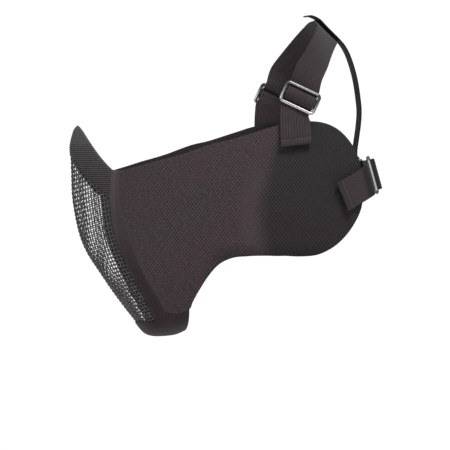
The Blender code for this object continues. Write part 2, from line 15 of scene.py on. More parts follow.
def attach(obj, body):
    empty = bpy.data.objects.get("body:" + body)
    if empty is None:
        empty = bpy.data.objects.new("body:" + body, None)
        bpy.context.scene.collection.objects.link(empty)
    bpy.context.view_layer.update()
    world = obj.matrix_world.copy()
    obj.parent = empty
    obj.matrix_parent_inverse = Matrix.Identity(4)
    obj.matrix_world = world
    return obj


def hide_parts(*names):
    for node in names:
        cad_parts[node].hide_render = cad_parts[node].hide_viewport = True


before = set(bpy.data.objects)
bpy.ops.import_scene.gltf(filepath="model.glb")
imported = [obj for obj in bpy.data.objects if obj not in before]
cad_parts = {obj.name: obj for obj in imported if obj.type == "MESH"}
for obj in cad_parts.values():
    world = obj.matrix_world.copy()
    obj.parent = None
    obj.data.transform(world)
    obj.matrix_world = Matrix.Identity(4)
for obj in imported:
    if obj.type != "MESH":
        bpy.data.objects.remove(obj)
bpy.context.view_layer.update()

# Driving sizes
mask_length = 0.234      # front of the mesh to the back of the wings, and the scale of every y
mask_height = 0.169      # top of the nose trim to under the chin, and the scale of its z
half_width = 0.0795      # middle of the object to the cloth in front of the ears
harness_rise = 0.110     # origin up to the middle of the crown strap, and the scale of its z

# Walls and webbing
trim_wall = 0.0026
band_wall = 0.0024
panel_wall = 0.0020
chin_wall = 0.0022
web_width = 0.025
web_wall = 0.0012
layer_gap = 0.0004       # between two pieces that lie on each other

# Tri-glide buckles
bar_pitch = 0.0080       # one bar to the next
bar_width = 0.0025
bar_depth = 0.0025
thread_gap = 0.0004

# Free ends of the straps
tail_hem = 0.0045        # depth of the folded and sewn end
tail_lift = 0.0014       # how far a free end stands off what it lies on
tail_root_lift = 0.4     # share of that lift at the buckle

# Front profile on the middle plane: z share, y share
profile_rows = [
    (0.199, -0.115), (0.187, -0.122), (0.175, -0.128), (0.109, -0.140), (0.066, -0.140),
    (-0.028, -0.138), (-0.133, -0.135), (-0.232, -0.124), (-0.327, -0.107), (-0.407, -0.081),
    (-0.492, -0.040), (-0.573, 0.000), (-0.653, 0.043), (-0.724, 0.084), (-0.800, 0.128),
]
# Rear boundary of the mesh and its trim: z share, y share
mesh_edge_rows = [
    (0.200, -0.012), (-0.009, -0.015), (-0.133, -0.020), (-0.218, -0.014), (-0.305, -0.004),
    (-0.379, 0.013), (-0.459, 0.039), (-0.530, 0.064), (-0.596, 0.089), (-0.660, 0.113),
    (-0.724, 0.137), (-0.800, 0.165),
]
# Plan of the skin from the mesh edge round the cheek to the back: y share, x share
plan_rows = [
    (-0.20, 0.15), (-0.085, 0.28), (0.00, 0.45), (0.030, 0.525), (0.068, 0.61), (0.137, 0.725),
    (0.239, 0.84), (0.376, 0.94), (0.504, 0.995), (0.607, 0.985), (0.701, 0.93),
    (0.769, 0.84), (0.829, 0.73), (0.90, 0.56),
]
barrel = 0.70            # how the skin draws in above and below the seat
chin_taper = 0.165       # and further in below the jaw
chin_start = 0.46
chin_span = 0.26
tip_round = 0.685        # roundness of the ridge down the front
bowl_share = 0.80        # how far the ridge turns into a round bowl at the chin
bowl_start = 0.25
bowl_span = 0.47

# Seams and rows of the front, as z shares on the profile and on the mesh edge
peak_z = 0.199
peak_edge_z = -0.009
mesh_top_z = 0.066
mesh_top_edge_z = -0.133
mesh_bottom_z = -0.724
trim_sag = 0.018
mesh_top_sag = 0.022

# Seam between the smooth band and the wing: y share, z share
band_rear_rows = [
    (0.011, -0.014), (0.009, -0.090), (0.012, -0.165), (0.031, -0.270), (0.052, -0.379),
    (0.084, -0.488), (0.113, -0.559), (0.137, -0.612), (0.155, -0.650), (0.169, -0.682),
]
# Upper edge of the wing, front to back: y share, z share
wing_top_rows = [
    (0.011, -0.014), (0.071, 0.009), (0.129, 0.033), (0.175, 0.050), (0.221, 0.069),
    (0.267, 0.092), (0.314, 0.114), (0.368, 0.131), (0.422, 0.154), (0.476, 0.177),
    (0.528, 0.199), (0.587, 0.213), (0.647, 0.219), (0.699, 0.208), (0.746, 0.175),
    (0.786, 0.118), (0.812, 0.052), (0.829, -0.028),
]
# Lower edge of the wing, each row under the same row above
wing_bottom_rows = [
    (0.169, -0.682), (0.207, -0.688), (0.245, -0.667), (0.256, -0.630), (0.274, -0.578),
    (0.304, -0.507), (0.339, -0.452), (0.386, -0.422), (0.440, -0.416), (0.494, -0.414),
    (0.553, -0.415), (0.612, -0.418), (0.671, -0.410), (0.724, -0.376), (0.766, -0.327),
    (0.799, -0.267), (0.822, -0.204), (0.831, -0.142),
]
band_bow_reach = 0.36    # share of the wing over which the seam's bow fades out

# Under side of the chin piece on the middle plane: y share, z share
keel_rows = [
    (0.084, -0.724), (0.100, -0.752), (0.117, -0.778), (0.139, -0.789), (0.170, -0.790),
    (0.215, -0.783), (0.249, -0.763),
]

# Soft folds of the wing: middle y, middle z, turn in degrees, half length, half width, height
# (lengths as shares of the mask's height, the height as a share of the wing's wall)
fold_rows = [
    (0.505, -0.060, 84, 0.42, 0.085, 0.55),
    (0.440, -0.330, 62, 0.16, 0.035, 0.50),
    (0.475, -0.300, 70, 0.14, 0.030, -0.45),
    (0.390, -0.370, 35, 0.12, 0.040, 0.40),
    (0.300, -0.100, 20, 0.20, 0.060, 0.25),
    (0.700, -0.060, 100, 0.18, 0.060, -0.35),
]

# Crown strap from the buckle to the middle plane: x share of half width, y share of length,
# z share of harness rise, across tilt in degrees, roll about its run in degrees
crown_rows = [
    (0.965, 0.6360, 0.683, -25.5, 10), (0.855, 0.6680, 0.789, -29, 22),
    (0.680, 0.6945, 0.878, -34, 25), (0.470, 0.7150, 0.944, -39, 20),
    (0.240, 0.7270, 0.983, -43, 2), (0.000, 0.7370, 0.995, -45, 0),
]
# End of the back strap in front of the crown strap, then how it goes on behind it, on the
# middle plane: y share of length, z share of harness rise
back_end_rows = [(0.6655, 1.1040), (0.6830, 1.1065)]
back_rows = [
    (0.7970, 0.885), (0.8130, 0.820), (0.8280, 0.728), (0.8390, 0.634), (0.8470, 0.526),
    (0.8520, 0.418), (0.8490, 0.310), (0.8420, 0.202), (0.8370, 0.117), (0.8405, 0.045),
    (0.8500, -0.040), (0.8590, -0.105), (0.8660, -0.150),
]
# Where it lies on the crown strap, as shares of its width from front to back
back_seat_shares = (-0.46, -0.15, 0.16, 0.47)
# Upper buckle, its tab and free end
upper_buckle_place = (1.015, 0.6045, 0.505)      # x, y, z shares as for the crown strap
upper_buckle_run = (-0.10, 0.42, 0.905)
upper_buckle_tilt = -24.9
# Where tab and free end lie on the wing, from the buckle down: y, z shares, tilt in degrees
upper_lie_rows = [(0.5865, 0.226, -13), (0.5870, 0.198, -7), (0.5875, 0.168, -1),
                  (0.5875, 0.137, 4), (0.5870, 0.110, 7)]

# Lower strap, its buckle, tab and free end
lower_strap_rows = [(0.000, 0.8700), (0.100, 0.8705), (0.200, 0.8725), (0.290, 0.8745)]
lower_strap_z = -0.035                           # share of the mask's height
lower_buckle_place = (0.470, 0.8770, -0.033)     # z as a share of the mask's height
lower_buckle_run = (-0.975, 0.165, 0.060)
lower_tilt = -74.6
lower_lie_rows = [(0.848, -0.056, -73), (0.826, -0.076, -71.5), (0.801, -0.095, -70),
                  (0.774, -0.114, -68), (0.748, -0.132, -66.5)]
tab_rows = 3                                     # of these rows, how many the sewn tab takes

# How the webbing goes through a buckle, seen from its side
thread_turns = (30, 60)                          # round the middle bar, in degrees
dip_rows = [(0.0004, 0.95), (0.0015, 0.55)]      # past the outer bar: distance, depth share
tab_turns = (-105, -70, -35, 0, 35, 70, 105, 132)
tab_lead_rows = [(-1.2, 1.0), (0.0, 1.0), (1.0, 0.97), (1.9, 0.83)]  # bar widths, depth share
hem_turns = (-45, 0, 45, 90)
bar_edge = 0.28                                  # bevel of a bar as a share of its depth
chin_steps = (8, 2, 5)                           # points of the chin's rim: net, band, wing
chin_wing_rows = 2                               # rows of the wing's lower edge sewn to the chin
strap_steps = 2
probe = 0.0005                                   # step for slopes of the skin
weld = 1e-6
side_names = (("left", 1), ("right", -1))


# ---- Form of the mask ----

def hermite(t, span, value0, value1, slope0, slope1):
    """Smooth value at a share t of a span, from the values and slopes at its ends."""
    return ((2 * t ** 3 - 3 * t ** 2 + 1) * value0 + (t ** 3 - 2 * t ** 2 + t) * span * slope0
            + (3 * t ** 2 - 2 * t ** 3) * value1 + (t ** 3 - t ** 2) * span * slope1)


def value_at(rows, key):
    """Smooth value of a table whose first column is the key, in any order."""
    rows = sorted(rows)
    last = len(rows) - 1
    if key <= rows[0][0]:
        return rows[0][1]
    if key >= rows[last][0]:
        return rows[last][1]
    i = max(k for k in range(last) if rows[k][0] <= key)

    def slope(k):
        a, b = rows[max(k - 1, 0)], rows[min(k + 1, last)]
        return (b[1] - a[1]) / (b[0] - a[0])

    (k0, v0), (k1, v1) = rows[i], rows[i + 1]
    return hermite((key - k0) / (k1 - k0), k1 - k0, v0, v1, slope(i), slope(i + 1))


def curve_at(t, a, b, c, d):
    """Smooth curve from b to c, with a before and d after them."""
    return b + 0.5 * t * (c - a + t * (2 * a - 5 * b + 4 * c - d + t * (3 * (b - c) + d - a)))


def point_along(rows, share):
    """Point of a smooth curve through the rows, at a share of its count of spans."""
    last = len(rows) - 1
    place = min(max(share, 0.0), 1.0) * last
    i = min(int(place), last - 1)
    near = (rows[min(max(i + k, 0), last)] for k in (-1, 0, 1, 2))
    return tuple(curve_at(place - i, *column) for column in zip(*near))


def metres(place):
    """A place of the side view, from its shares of the mask's length and height."""
    return place[0] * mask_length, place[1] * mask_height


def front_y(z):
    return mask_length * value_at(profile_rows, z / mask_height)


def mesh_edge_y(z):
    return mask_length * value_at(mesh_edge_rows, z / mask_height)


def wing_x(y, z):
    """Half width of the cloth skin at a place of the side view."""
    rise = z / mask_height
    low = max(0.0, -rise - chin_start) / chin_span
    return (half_width * value_at(plan_rows, y / mask_length)
            * (1 - barrel * rise ** 2) * (1 - chin_taper * low ** 2))


def skin_point(y, z):
    return Vector((wing_x(y, z), y, z))


def skin_x(y, z):
    """Half width of the whole skin: a ridged front, then the cheek and the wing."""
    edge = mesh_edge_y(z)
    if y >= edge:
        return wing_x(y, z)
    front = front_y(z)
    s = max(0.0, (y - front) / (edge - front))
    ridge = math.sqrt((s * s + 2 * tip_round * s) / (1 + 2 * tip_round))
    bowl = math.sqrt(s * (2 - s))
    low = min(max((-z / mask_height - bowl_start) / bowl_span, 0.0), 1.0)
    return wing_x(edge, z) * (ridge + (bowl - ridge) * bowl_share * low)


def skin_normal(y, z):
    slope_y = (skin_x(y + probe, z) - skin_x(y - probe, z)) / (2 * probe)
    slope_z = (skin_x(y, z + probe) - skin_x(y, z - probe)) / (2 * probe)
    return Vector((1, -slope_y, -slope_z)).normalized()


def fold_height(y, z):
    """How far the soft folds lift the wing at a place of the side view."""
    total = 0.0
    for *middle, turn, half_length, half_wide, height in fold_rows:
        mid_y, mid_z = metres(middle)
        dy, dz, a = y - mid_y, z - mid_z, math.radians(turn)
        run = (dy * math.cos(a) + dz * math.sin(a)) / (half_length * mask_height)
        off = (dz * math.cos(a) - dy * math.sin(a)) / (half_wide * mask_height)
        total += height * panel_wall * math.exp(-run ** 2 - off ** 2)
    return total


def wing_point(y, z, standoff=0.0):
    """Point over the wing's middle surface, folds included."""
    return skin_point(y, z) + skin_normal(y, z) * (standoff + fold_height(y, z))


def ridge_share(u):
    """Share of the way back at which the ridge has the share u of its width."""
    return math.sqrt(tip_round ** 2 + (1 + 2 * tip_round) * u * u) - tip_round


def front_row(profile_z, edge_z, sag):
    """Row of the front, from z shares on the profile and on the mesh edge, and its sag."""
    return profile_z, mesh_edge_y(edge_z * mask_height), edge_z, sag


trim_foot = front_row(mesh_top_z, mesh_top_edge_z, mesh_top_sag)
trim_top = front_row(peak_z, peak_edge_z, trim_sag)


def front_point(row, u):
    """Point of a row of the front, at a share u of the skin's width."""
    profile_z, y1, edge_z, sag = row
    z0, z1, s = profile_z * mask_height, edge_z * mask_height, ridge_share(u)
    y0 = front_y(z0)
    y = y0 + (y1 - y0) * s
    z = z0 + (z1 - z0) * s - sag * mask_height * 4 * s * (1 - s)
    return Vector((skin_x(y, z) if u > 0 else 0.0, y, z))


def band_line(share):
    """Ends of one line across the smooth band: its mesh side and its wing side."""
    z = (peak_edge_z + (mesh_bottom_z - peak_edge_z) * share) * mask_height
    return (mesh_edge_y(z), z), metres(point_along(band_rear_rows, share))


def wing_place(u, v):
    """Side view place of the wing: u from front to back, v from the lower edge up."""
    low, high = point_along(wing_bottom_rows, u), point_along(wing_top_rows, u)
    seam, first, last = point_along(band_rear_rows, 1 - v), band_rear_rows[-1], band_rear_rows[0]
    fade = max(0.0, 1 - u / band_bow_reach) ** 2
    return metres([low[k] + (high[k] - low[k]) * v
                   + fade * (seam[k] - first[k] - (last[k] - first[k]) * v) for k in (0, 1)])


def chin_rim():
    """Upper edge of the chin piece from the middle of the front round to its free end."""
    net, band, wing = chin_steps
    bottom = front_row(mesh_bottom_z, mesh_bottom_z, 0.0)
    rim = [front_point(bottom, i / net) for i in range(net + 1)]
    y0, z0 = rim[-1].y, rim[-1].z
    y1, z1 = metres(band_rear_rows[-1])
    rim += [skin_point(y0 + (y1 - y0) * i / band, z0 + (z1 - z0) * i / band)
            for i in range(1, band + 1)]
    sewn = chin_wing_rows / (len(wing_bottom_rows) - 1)
    return rim + [skin_point(*metres(point_along(wing_bottom_rows, sewn * i / wing)))
                  for i in range(1, wing + 1)]


def harness_point(x, y, z, rise=harness_rise):
    """Point from its shares of the half width, the mask's length and a rise."""
    return Vector((x * half_width, y * mask_length, z * rise))


def tilt_vector(degrees):
    """Direction across a strap in the side view, from its tilt."""
    a = math.radians(degrees)
    return Vector((0, math.cos(a), math.sin(a)))


def strap_row(centre, across):
    return [centre + across * (web_width * (k / 2 - 0.5)) for k in range(3)]


class Buckle:
    """Place of a tri-glide: run along the strap, across it, and out of its face."""

    def __init__(self, origin, run, tilt):
        self.origin = origin
        self.run = Vector(run).normalized()
        across = tilt_vector(tilt)
        self.across = (across - self.run * across.dot(self.run)).normalized()
        self.out = self.across.cross(self.run).normalized()

    def rows(self, places):
        """Rows of a strap at places along the run and out of the face."""
        return [strap_row(self.origin + self.run * along + self.out * out, self.across)
                for along, out in places]

    def matrix(self):
        turned = Matrix((self.across, self.run, self.out)).transposed().to_4x4()
        return Matrix.Translation(self.origin) @ turned


upper_buckle = Buckle(harness_point(*upper_buckle_place), upper_buckle_run, upper_buckle_tilt)
lower_buckle = Buckle(harness_point(*lower_buckle_place, mask_height), lower_buckle_run,
                      lower_tilt)


def arc(radius, angles):
    return [(radius * math.cos(math.radians(a)), radius * math.sin(math.radians(a)))
            for a in angles]


behind = -(bar_depth / 2 + thread_gap + web_wall / 2)
tab_radius = bar_depth / 2 * (1 + bar_edge) + thread_gap + web_wall / 2
strap_radius = tab_radius + web_wall + thread_gap
tab_behind = behind - web_wall - thread_gap * 1.5


def strap_thread():
    """Running strap: behind the outer bar, over the middle one, behind the near bar."""
    first = [(bar_pitch + bar_width, behind), (bar_pitch, behind)]
    first += [(bar_pitch - bar_width / 2 - past, behind * depth) for past, depth in dip_rows]
    first += [(strap_radius + thread_gap, 0.0)] + arc(strap_radius, thread_turns)
    return first + [(0.0, strap_radius)] + [(-s, n) for s, n in reversed(first)]


def tab_thread():
    """Sewn tab: behind the near bar and round the middle one."""
    lead = [(-bar_pitch + bar_width * past, tab_behind * depth)
            for past, depth in tab_lead_rows]
    return lead + arc(tab_radius, tab_turns)


def lying_row(y_share, z_share, tilt, standoff):
    """Row of a strap that lies over the wing, at its full width on the skin."""
    y, z = metres((y_share, z_share))
    across = tilt_vector(tilt)

    def over(reach, out=0.0):
        return wing_point(y + across.y * reach, z + across.z * reach, out)

    reach = web_width / ((over(probe) - over(-probe)).length / (2 * probe))
    return [over(reach * (k / 2 - 0.5), standoff) for k in range(3)]


def smooth_rows(rows):
    """More rows on smooth curves through the given ones."""
    last = len(rows) - 1
    grid = resample(to_grid(rows), np.linspace(0, last, last * strap_steps + 1), (0, 1, 2))
    return [[Vector(p) for p in row] for row in grid]


def strap_end(rows):
    """Last row of a strap, the way it runs there, and the way out of the wearer's side."""
    end, before = rows[-1], rows[-2]
    run = (end[1] - before[1]).normalized()
    out = (end[2] - end[0]).normalized().cross(run).normalized()
    return end, run, -out if out.x < 0 else out


def hem_rows(rows):
    """The last row turned back over itself, outward, as a folded and sewn end."""
    end, run, out = strap_end(rows)
    radius = (web_wall + layer_gap) / 2
    turned = []
    for angle in hem_turns:
        a = math.radians(angle)
        shift = run * (radius * math.cos(a)) + out * (radius * (1 + math.sin(a)))
        turned.append([p + shift for p in end])
    turned.append([p + out * (2 * radius) - run * tail_hem for p in end])
    return turned


on_wing = panel_wall / 2 + layer_gap + web_wall / 2
on_tab = on_wing + web_wall + layer_gap * 1.5


def tail_rows(table):
    """Rows of a free end, which stands a little off the wing."""
    rows = []
    for i, place in enumerate(table):
        far = i / (len(table) - 1)
        lift = far ** 2 + tail_root_lift * (1 - far) ** 2
        rows.append(lying_row(*place, on_tab + tail_lift * lift))
    return rows


def crown_strap_rows():
    """Rows of the crown strap from the buckle to the middle plane."""
    centres = [harness_point(*row[:3]) for row in crown_rows]
    rows = []
    for i, (*_, tilt, roll) in enumerate(crown_rows):
        run = (centres[min(i + 1, len(centres) - 1)] - centres[max(i - 1, 0)]).normalized()
        turn = Matrix.Rotation(math.radians(roll), 3, run)
        rows.append(strap_row(centres[i], turn @ tilt_vector(tilt)))
    return rows


# ---- Sizes of what the solids leave out ----

# Net of woven wire
wire_pitch = 0.0030
wire_row_rows = [(0.066, 0.00350), (-0.30, 0.00335), (-0.72, 0.0031)]  # z share, row pitch
wire_radius = 0.00044
wire_rise = 0.31         # how steeply the wires climb to the rear, in the side view
wire_sides = 6
wire_reach = 0.0018      # how far the wires run into the cloth round the net
net_reach = 0.095        # further than any wire runs
ridge_steps = 60         # steps along a wire, to measure its run
foot_steps = 24          # steps along the trim's lower edge, which bounds the net
net_foot = 0.06          # how far below the net wires start, as a share of the mask's height

chin_lap = 0.0007        # how far the chin piece is sewn into the cloth above it
wing_lap = 0.0009        # how far the wing is sewn in under the band
net_cover = 0.0009       # how far the cloth reaches over the net
seam_rim = 0.3           # roundness of a sewn border, where a free one has 1
cover_rim = 0.6          # roundness of a border that reaches over the net

# Sizes from which the cloth's columns and rows are spaced: not its measures everywhere
trim_half = 0.060        # along the trim, on one side
band_width = 0.0085      # across the band
wing_height = 0.105      # up the wing
chin_across = 0.075      # across the chin piece

# Reliefs, seams and steps
rib_pitch = 0.00160      # ribs of the nose trim
rib_height = 0.00022
plain_start = 0.0165     # height at which the ribs of the trim begin to fade
plain_end = 0.0225
relief_fade = 0.0012     # way in from an edge over which the ribs rise
web_ribs = 11
web_rib_height = 0.00028
web_rib_base = 0.6       # share of that height that lies below the webbing's face
weave_cell = (0.00138, 0.00172)  # one crossing of the wing's weave, along and across
lay_reach = (-0.03, 0.24, 271)  # y of the line that measures its cloth: from, to, points
lay_height = -0.02       # z of that line
hem_width = 0.0034
hem_height = 0.00018
hem_slope = 0.0006       # width of the step up to the hem
hem_dip_share = 0.78     # where its stitching dips, as a share of its width
hem_dip_width = 0.00035
hem_dip_depth = 0.9      # as a share of the hem's height
stitch_length = 0.0015
stitch_pitch = 0.0022
stitch_radius = 0.00013
end_stitch = {"Length": 0.0016, "Pitch": 0.0019, "Thread Radius": 0.00026}
end_stitch_back = 0.0014  # how far from a strap's fold its end is sewn
end_stitch_lift = 0.00012
end_stitch_shares = (0.07, 0.5, 0.93)
band_seams = (0.30, 0.72)  # shares of the band's width at which it is stitched
band_seam_margin = 3     # rows at either end of the band without stitches
wing_grid = (64, 30)     # spans of the wing's coarse surface, along and up
chin_grid = 8            # spans of the chin's coarse surface, from its rim to the keel
ring_corner = 0.0026     # roundness of a buckle's frame
ring_steps = 8           # spans round each of its corners
rail_wide = 1.12         # widths as shares of the solid bars' depth
middle_wide = 0.8
rail_shade_end = 0.0032        # how far from the middle of the rails the bars' painted shade begins to fade
rail_shade_fade = 0.0022       # over what way it fades
rail_dark = (-0.20, 0.5)  # up a steep buckle, in bar pitches: where the painted shade on its rails begins,
                         # and over what way
top_bar_shade = 0.3           # how much more painted shade darkens its upper bar
cloth_step = 0.0011
trim_step = 0.00042
web_step = 0.0009

inside = np.array((0.0, 0.095, -0.010))  # a point in the hollow, to tell outward from inward


# ---- Surfaces as grids of points ----

def to_grid(rows):
    return np.array([[tuple(p) for p in row] for row in rows])


def resample(grid, row_places, column_places):
    """Smooth surface through a grid, at places counted in its rows and columns."""
    for axis, places in ((0, row_places), (1, column_places)):
        last = grid.shape[axis] - 1
        places = np.clip(np.asarray(places, float), 0, last)
        i = np.minimum(places.astype(int), last - 1)
        t = (places - i).reshape((-1, 1, 1) if axis == 0 else (1, -1, 1))
        grid = curve_at(t, *(np.take(grid, np.clip(i + k, 0, last), axis)
                             for k in (-1, 0, 1, 2)))
    return grid


def run_length(grid):
    """Length travelled along the middle of a grid."""
    return distances(grid[:, grid.shape[1] // 2])


def smooth_run(grid, shares):
    """Rows at shares of the run's length, on a smooth curve through rows at any spacing."""
    knots = run_length(grid)
    last = len(knots) - 1
    at = np.asarray(shares) * knots[-1]
    i = np.clip(np.searchsorted(knots, at, side="right") - 1, 0, last - 1)
    k = np.arange(last + 1)
    low, high = np.maximum(k - 1, 0), np.minimum(k + 1, last)
    slope = (grid[high] - grid[low]) / (knots[high] - knots[low])[:, None, None]
    span = (knots[i + 1] - knots[i])[:, None, None]
    t = (at - knots[i])[:, None, None] / span
    return hermite(t, span, grid[i], grid[i + 1], slope[i], slope[i + 1])


def spread(length, step, rim):
    """Shares of a length: fine over the two rounded rims, and even between them."""
    ends = [rim * k / length for k in (0, 0.08, 0.3, 0.62, 1.0)]
    count = max(2, round((length - 2 * rim) / step))
    middle = np.linspace(ends[-1], 1 - ends[-1], count + 1)[1:-1]
    return np.concatenate([ends, middle, [1 - e for e in reversed(ends)]])


def distances(points, axis=0):
    """Length travelled along one axis of a line or grid, at each of its points."""
    steps = np.linalg.norm(np.diff(points, axis=axis), axis=-1)
    zero = np.zeros_like(np.take(steps, [0], axis))
    return np.concatenate([zero, np.cumsum(steps, axis=axis)], axis)


def normals(grid):
    n = np.cross(np.gradient(grid, axis=0), np.gradient(grid, axis=1))
    return n / np.maximum(np.linalg.norm(n, axis=2, keepdims=True), 1e-12)


def outward(grid):
    """Normals of a surface that point away from the hollow."""
    out = normals(grid)
    return -out if (out * (grid - inside)).sum() < 0 else out


def both_sides(rows):
    """Rows that start on the middle plane, carried on over it to the other side."""
    grid = to_grid(rows)
    return np.concatenate([grid[:, :0:-1] * (-1, 1, 1), grid], axis=1)


def point_values(mesh, name, values, kind="FLOAT"):
    """Puts a value or a vector on each point of a mesh."""
    mesh.attributes.new(name, kind, "POINT").data.foreach_set(
        "value" if kind == "FLOAT" else "vector", np.ravel(values).astype(np.float32))


def shell(name, grid, wall, finish, replaced=(), relief=None, rims=(1, 1, 1, 1), lay=None):
    """Cloth wall round a surface, with rounded rims. relief(t, edge, grid) lifts its outside.

    rims are how round the first and last row and column are, as shares of half the wall. lay
    gives the cloth's own flat coordinates, where they aren't the distances along the grid.
    """
    if (normals(grid) * (grid - inside)).sum() < 0:
        grid = grid[:, ::-1]
        rims = (*rims[:2], rims[3], rims[2])
    out = normals(grid)
    s, t = distances(grid, 0), distances(grid, 1)
    borders = (s, s[-1:] - s, t, t[:, -1:] - t)
    edge = np.minimum.reduce([d + (r != 1) for d, r in zip(borders, rims)])
    seam = np.minimum.reduce([d + (r == 1) for d, r in zip(borders, rims)])
    height = 1.0
    for d, r in zip(borders, rims):
        near = np.clip(d / (r * wall / 2), 0, 1)
        height = np.minimum(height, np.sqrt(1 - (1 - near) ** 2))
    lift = relief(t, edge, grid) if relief else 0.0
    top = grid + out * (height * (wall / 2 + lift))[:, :, None]
    low = grid - out * (height * (wall / 2 + (lift if relief is web_relief else 0)))[:, :, None]
    n, m = s.shape
    index = np.arange(n * m).reshape(n, m)
    under = index.copy()
    under[1:-1, 1:-1] = n * m + np.arange((n - 2) * (m - 2)).reshape(n - 2, m - 2)

    def quads(ix):
        return np.stack([ix[:-1, :-1], ix[1:, :-1], ix[1:, 1:], ix[:-1, 1:]], -1).reshape(-1, 4)

    def both(outer, inner):
        """Values of the outer points, then of the inner ones. They share those of the rim."""
        return np.concatenate([v.reshape(v.shape[0] * v.shape[1], -1)
                               for v in (outer, inner[1:-1, 1:-1])])

    points = both(top, low)
    mesh = bpy.data.meshes.new(name)
    mesh.from_pydata(points.tolist(), [],
                     np.concatenate([quads(index), quads(under)[:, ::-1]]).tolist())
    place = lay(grid) if lay else np.stack([t, s], -1)
    corner = np.empty(len(mesh.loops), np.int32)
    mesh.loops.foreach_get("vertex_index", corner)
    mesh.uv_layers.new(name="cloth").data.foreach_set(
        "uv", both(place, place)[corner].astype(np.float32).ravel())
    for label, value in (("edge", edge), ("seam", seam), ("end", np.minimum(s, s[-1:] - s))):
        point_values(mesh, label, both(value, value))
    point_values(mesh, "lining", np.arange(len(points)) >= n * m)
    clean(mesh)
    return add_piece(name, mesh, finish, replaced)


def clean(mesh):
    """Merges points that coincide, as where rows meet in one point."""
    bm = bmesh.new()
    bm.from_mesh(mesh)
    bmesh.ops.remove_doubles(bm, verts=bm.verts, dist=weld)
    bmesh.ops.dissolve_degenerate(bm, edges=bm.edges, dist=weld / 2)
    bm.to_mesh(mesh)
    bm.free()


def add_piece(name, mesh, finish, replaced=()):
    if not mesh.materials:
        mesh.materials.append(materials[finish])
    mesh.shade_smooth()
    piece = bpy.data.objects.new(name, mesh)
    bpy.context.scene.collection.objects.link(piece)
    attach(piece, "root")
    if replaced:
        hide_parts(*replaced)
    return piece


# ---- Nodes ----

class Value:
    """An output of a node, so that maths with it reads as plain expressions."""

    def __init__(self, nodes, socket):
        self.nodes, self.socket = nodes, socket

    def math(self, operation, *others):
        return self.nodes.math(operation, self, *others)

    __add__ = __radd__ = partialmethod(math, "ADD")
    __sub__ = partialmethod(math, "SUBTRACT")
    __mul__ = __rmul__ = partialmethod(math, "MULTIPLY")
    __truediv__ = partialmethod(math, "DIVIDE")
    __pow__ = partialmethod(math, "POWER")
    __abs__ = partialmethod(math, "ABSOLUTE")

    def __rsub__(self, other):
        return self.nodes.math("SUBTRACT", other, self)

    def wave(self):
        """0 to 1 and back over a whole turn of the value."""
        return (self * (2 * math.pi)).math("SINE") * 0.5 + 0.5

    def between(self, low, high):
        """Smooth step from 0 at low to 1 at high."""
        return self.nodes.value("ShaderNodeMapRange",
                                {"Value": self, "From Min": low, "From Max": high}, "Result",
                                interpolation_type="SMOOTHSTEP")


class Nodes:
    """A node tree, built value by value."""

    def __init__(self, tree):
        self.tree = tree

    def feed(self, socket, value):
        """Links a value to an input, or sets the input to it."""
        if isinstance(value, Value):
            self.tree.links.new(value.socket, socket)
        else:
            socket.default_value = value

    def node(self, kind, inputs=(), **settings):
        """Node with its settings. inputs are what feeds it, by the input's name or number."""
        node = self.tree.nodes.new(kind)
        for key, value in settings.items():
            setattr(node, key, value)
        for key, value in dict(inputs).items():
            self.feed(node.inputs[key], value)
        return node

    def value(self, kind, inputs=(), output=0, **settings):
        """One output of a new node."""
        return Value(self, self.node(kind, inputs, **settings).outputs[output])

    def math(self, operation, *terms):
        return self.value("ShaderNodeMath", enumerate(terms), operation=operation)

    def axes(self, vector):
        node = self.node("ShaderNodeSeparateXYZ", {"Vector": vector})
        return [Value(self, output) for output in node.outputs]

    def vector(self, x=0.0, y=0.0, z=0.0):
        return self.value("ShaderNodeCombineXYZ", {"X": x, "Y": y, "Z": z})


# ---- Geometry Nodes ----

class Group(Nodes):
    """Geometry nodes with a material and inputs of (name, kind, value) beside the geometry."""

    def __init__(self, name, inputs):
        super().__init__(bpy.data.node_groups.new(name, "GeometryNodeTree"))
        new_socket = self.tree.interface.new_socket
        for way in ("OUTPUT", "INPUT"):
            new_socket("Geometry", in_out=way, socket_type="NodeSocketGeometry")
        for label, kind, value in inputs:
            new_socket(label, in_out="INPUT", socket_type=kind).default_value = value
        new_socket("Material", in_out="INPUT", socket_type="NodeSocketMaterial")
        start = self.node("NodeGroupInput")
        self.given = {output.name: Value(self, output) for output in start.outputs}

    def finish(self, shape):
        """Gives the shape its material and hands it out."""
        real = self.value("GeometryNodeRealizeInstances", {"Geometry": shape})
        smooth = self.value("GeometryNodeSetShadeSmooth", {"Geometry": real})
        painted = self.value("GeometryNodeSetMaterial",
                             {"Geometry": smooth, "Material": self.given["Material"]})
        self.node("NodeGroupOutput", {"Geometry": painted})
        return self.tree


def tube_group():
    """Round wire along every edge of a mesh."""
    group = Group("wires", [("Wire Radius", "NodeSocketFloat", wire_radius),
                            ("Sides", "NodeSocketInt", wire_sides)])
    line = group.value("GeometryNodeMeshToCurve", {"Mesh": group.given["Geometry"]})
    circle = group.value("GeometryNodeCurvePrimitiveCircle", {
        "Resolution": group.given["Sides"], "Radius": group.given["Wire Radius"]})
    return group.finish(group.value("GeometryNodeCurveToMesh", {
        "Curve": line, "Profile Curve": circle, "Fill Caps": True}))


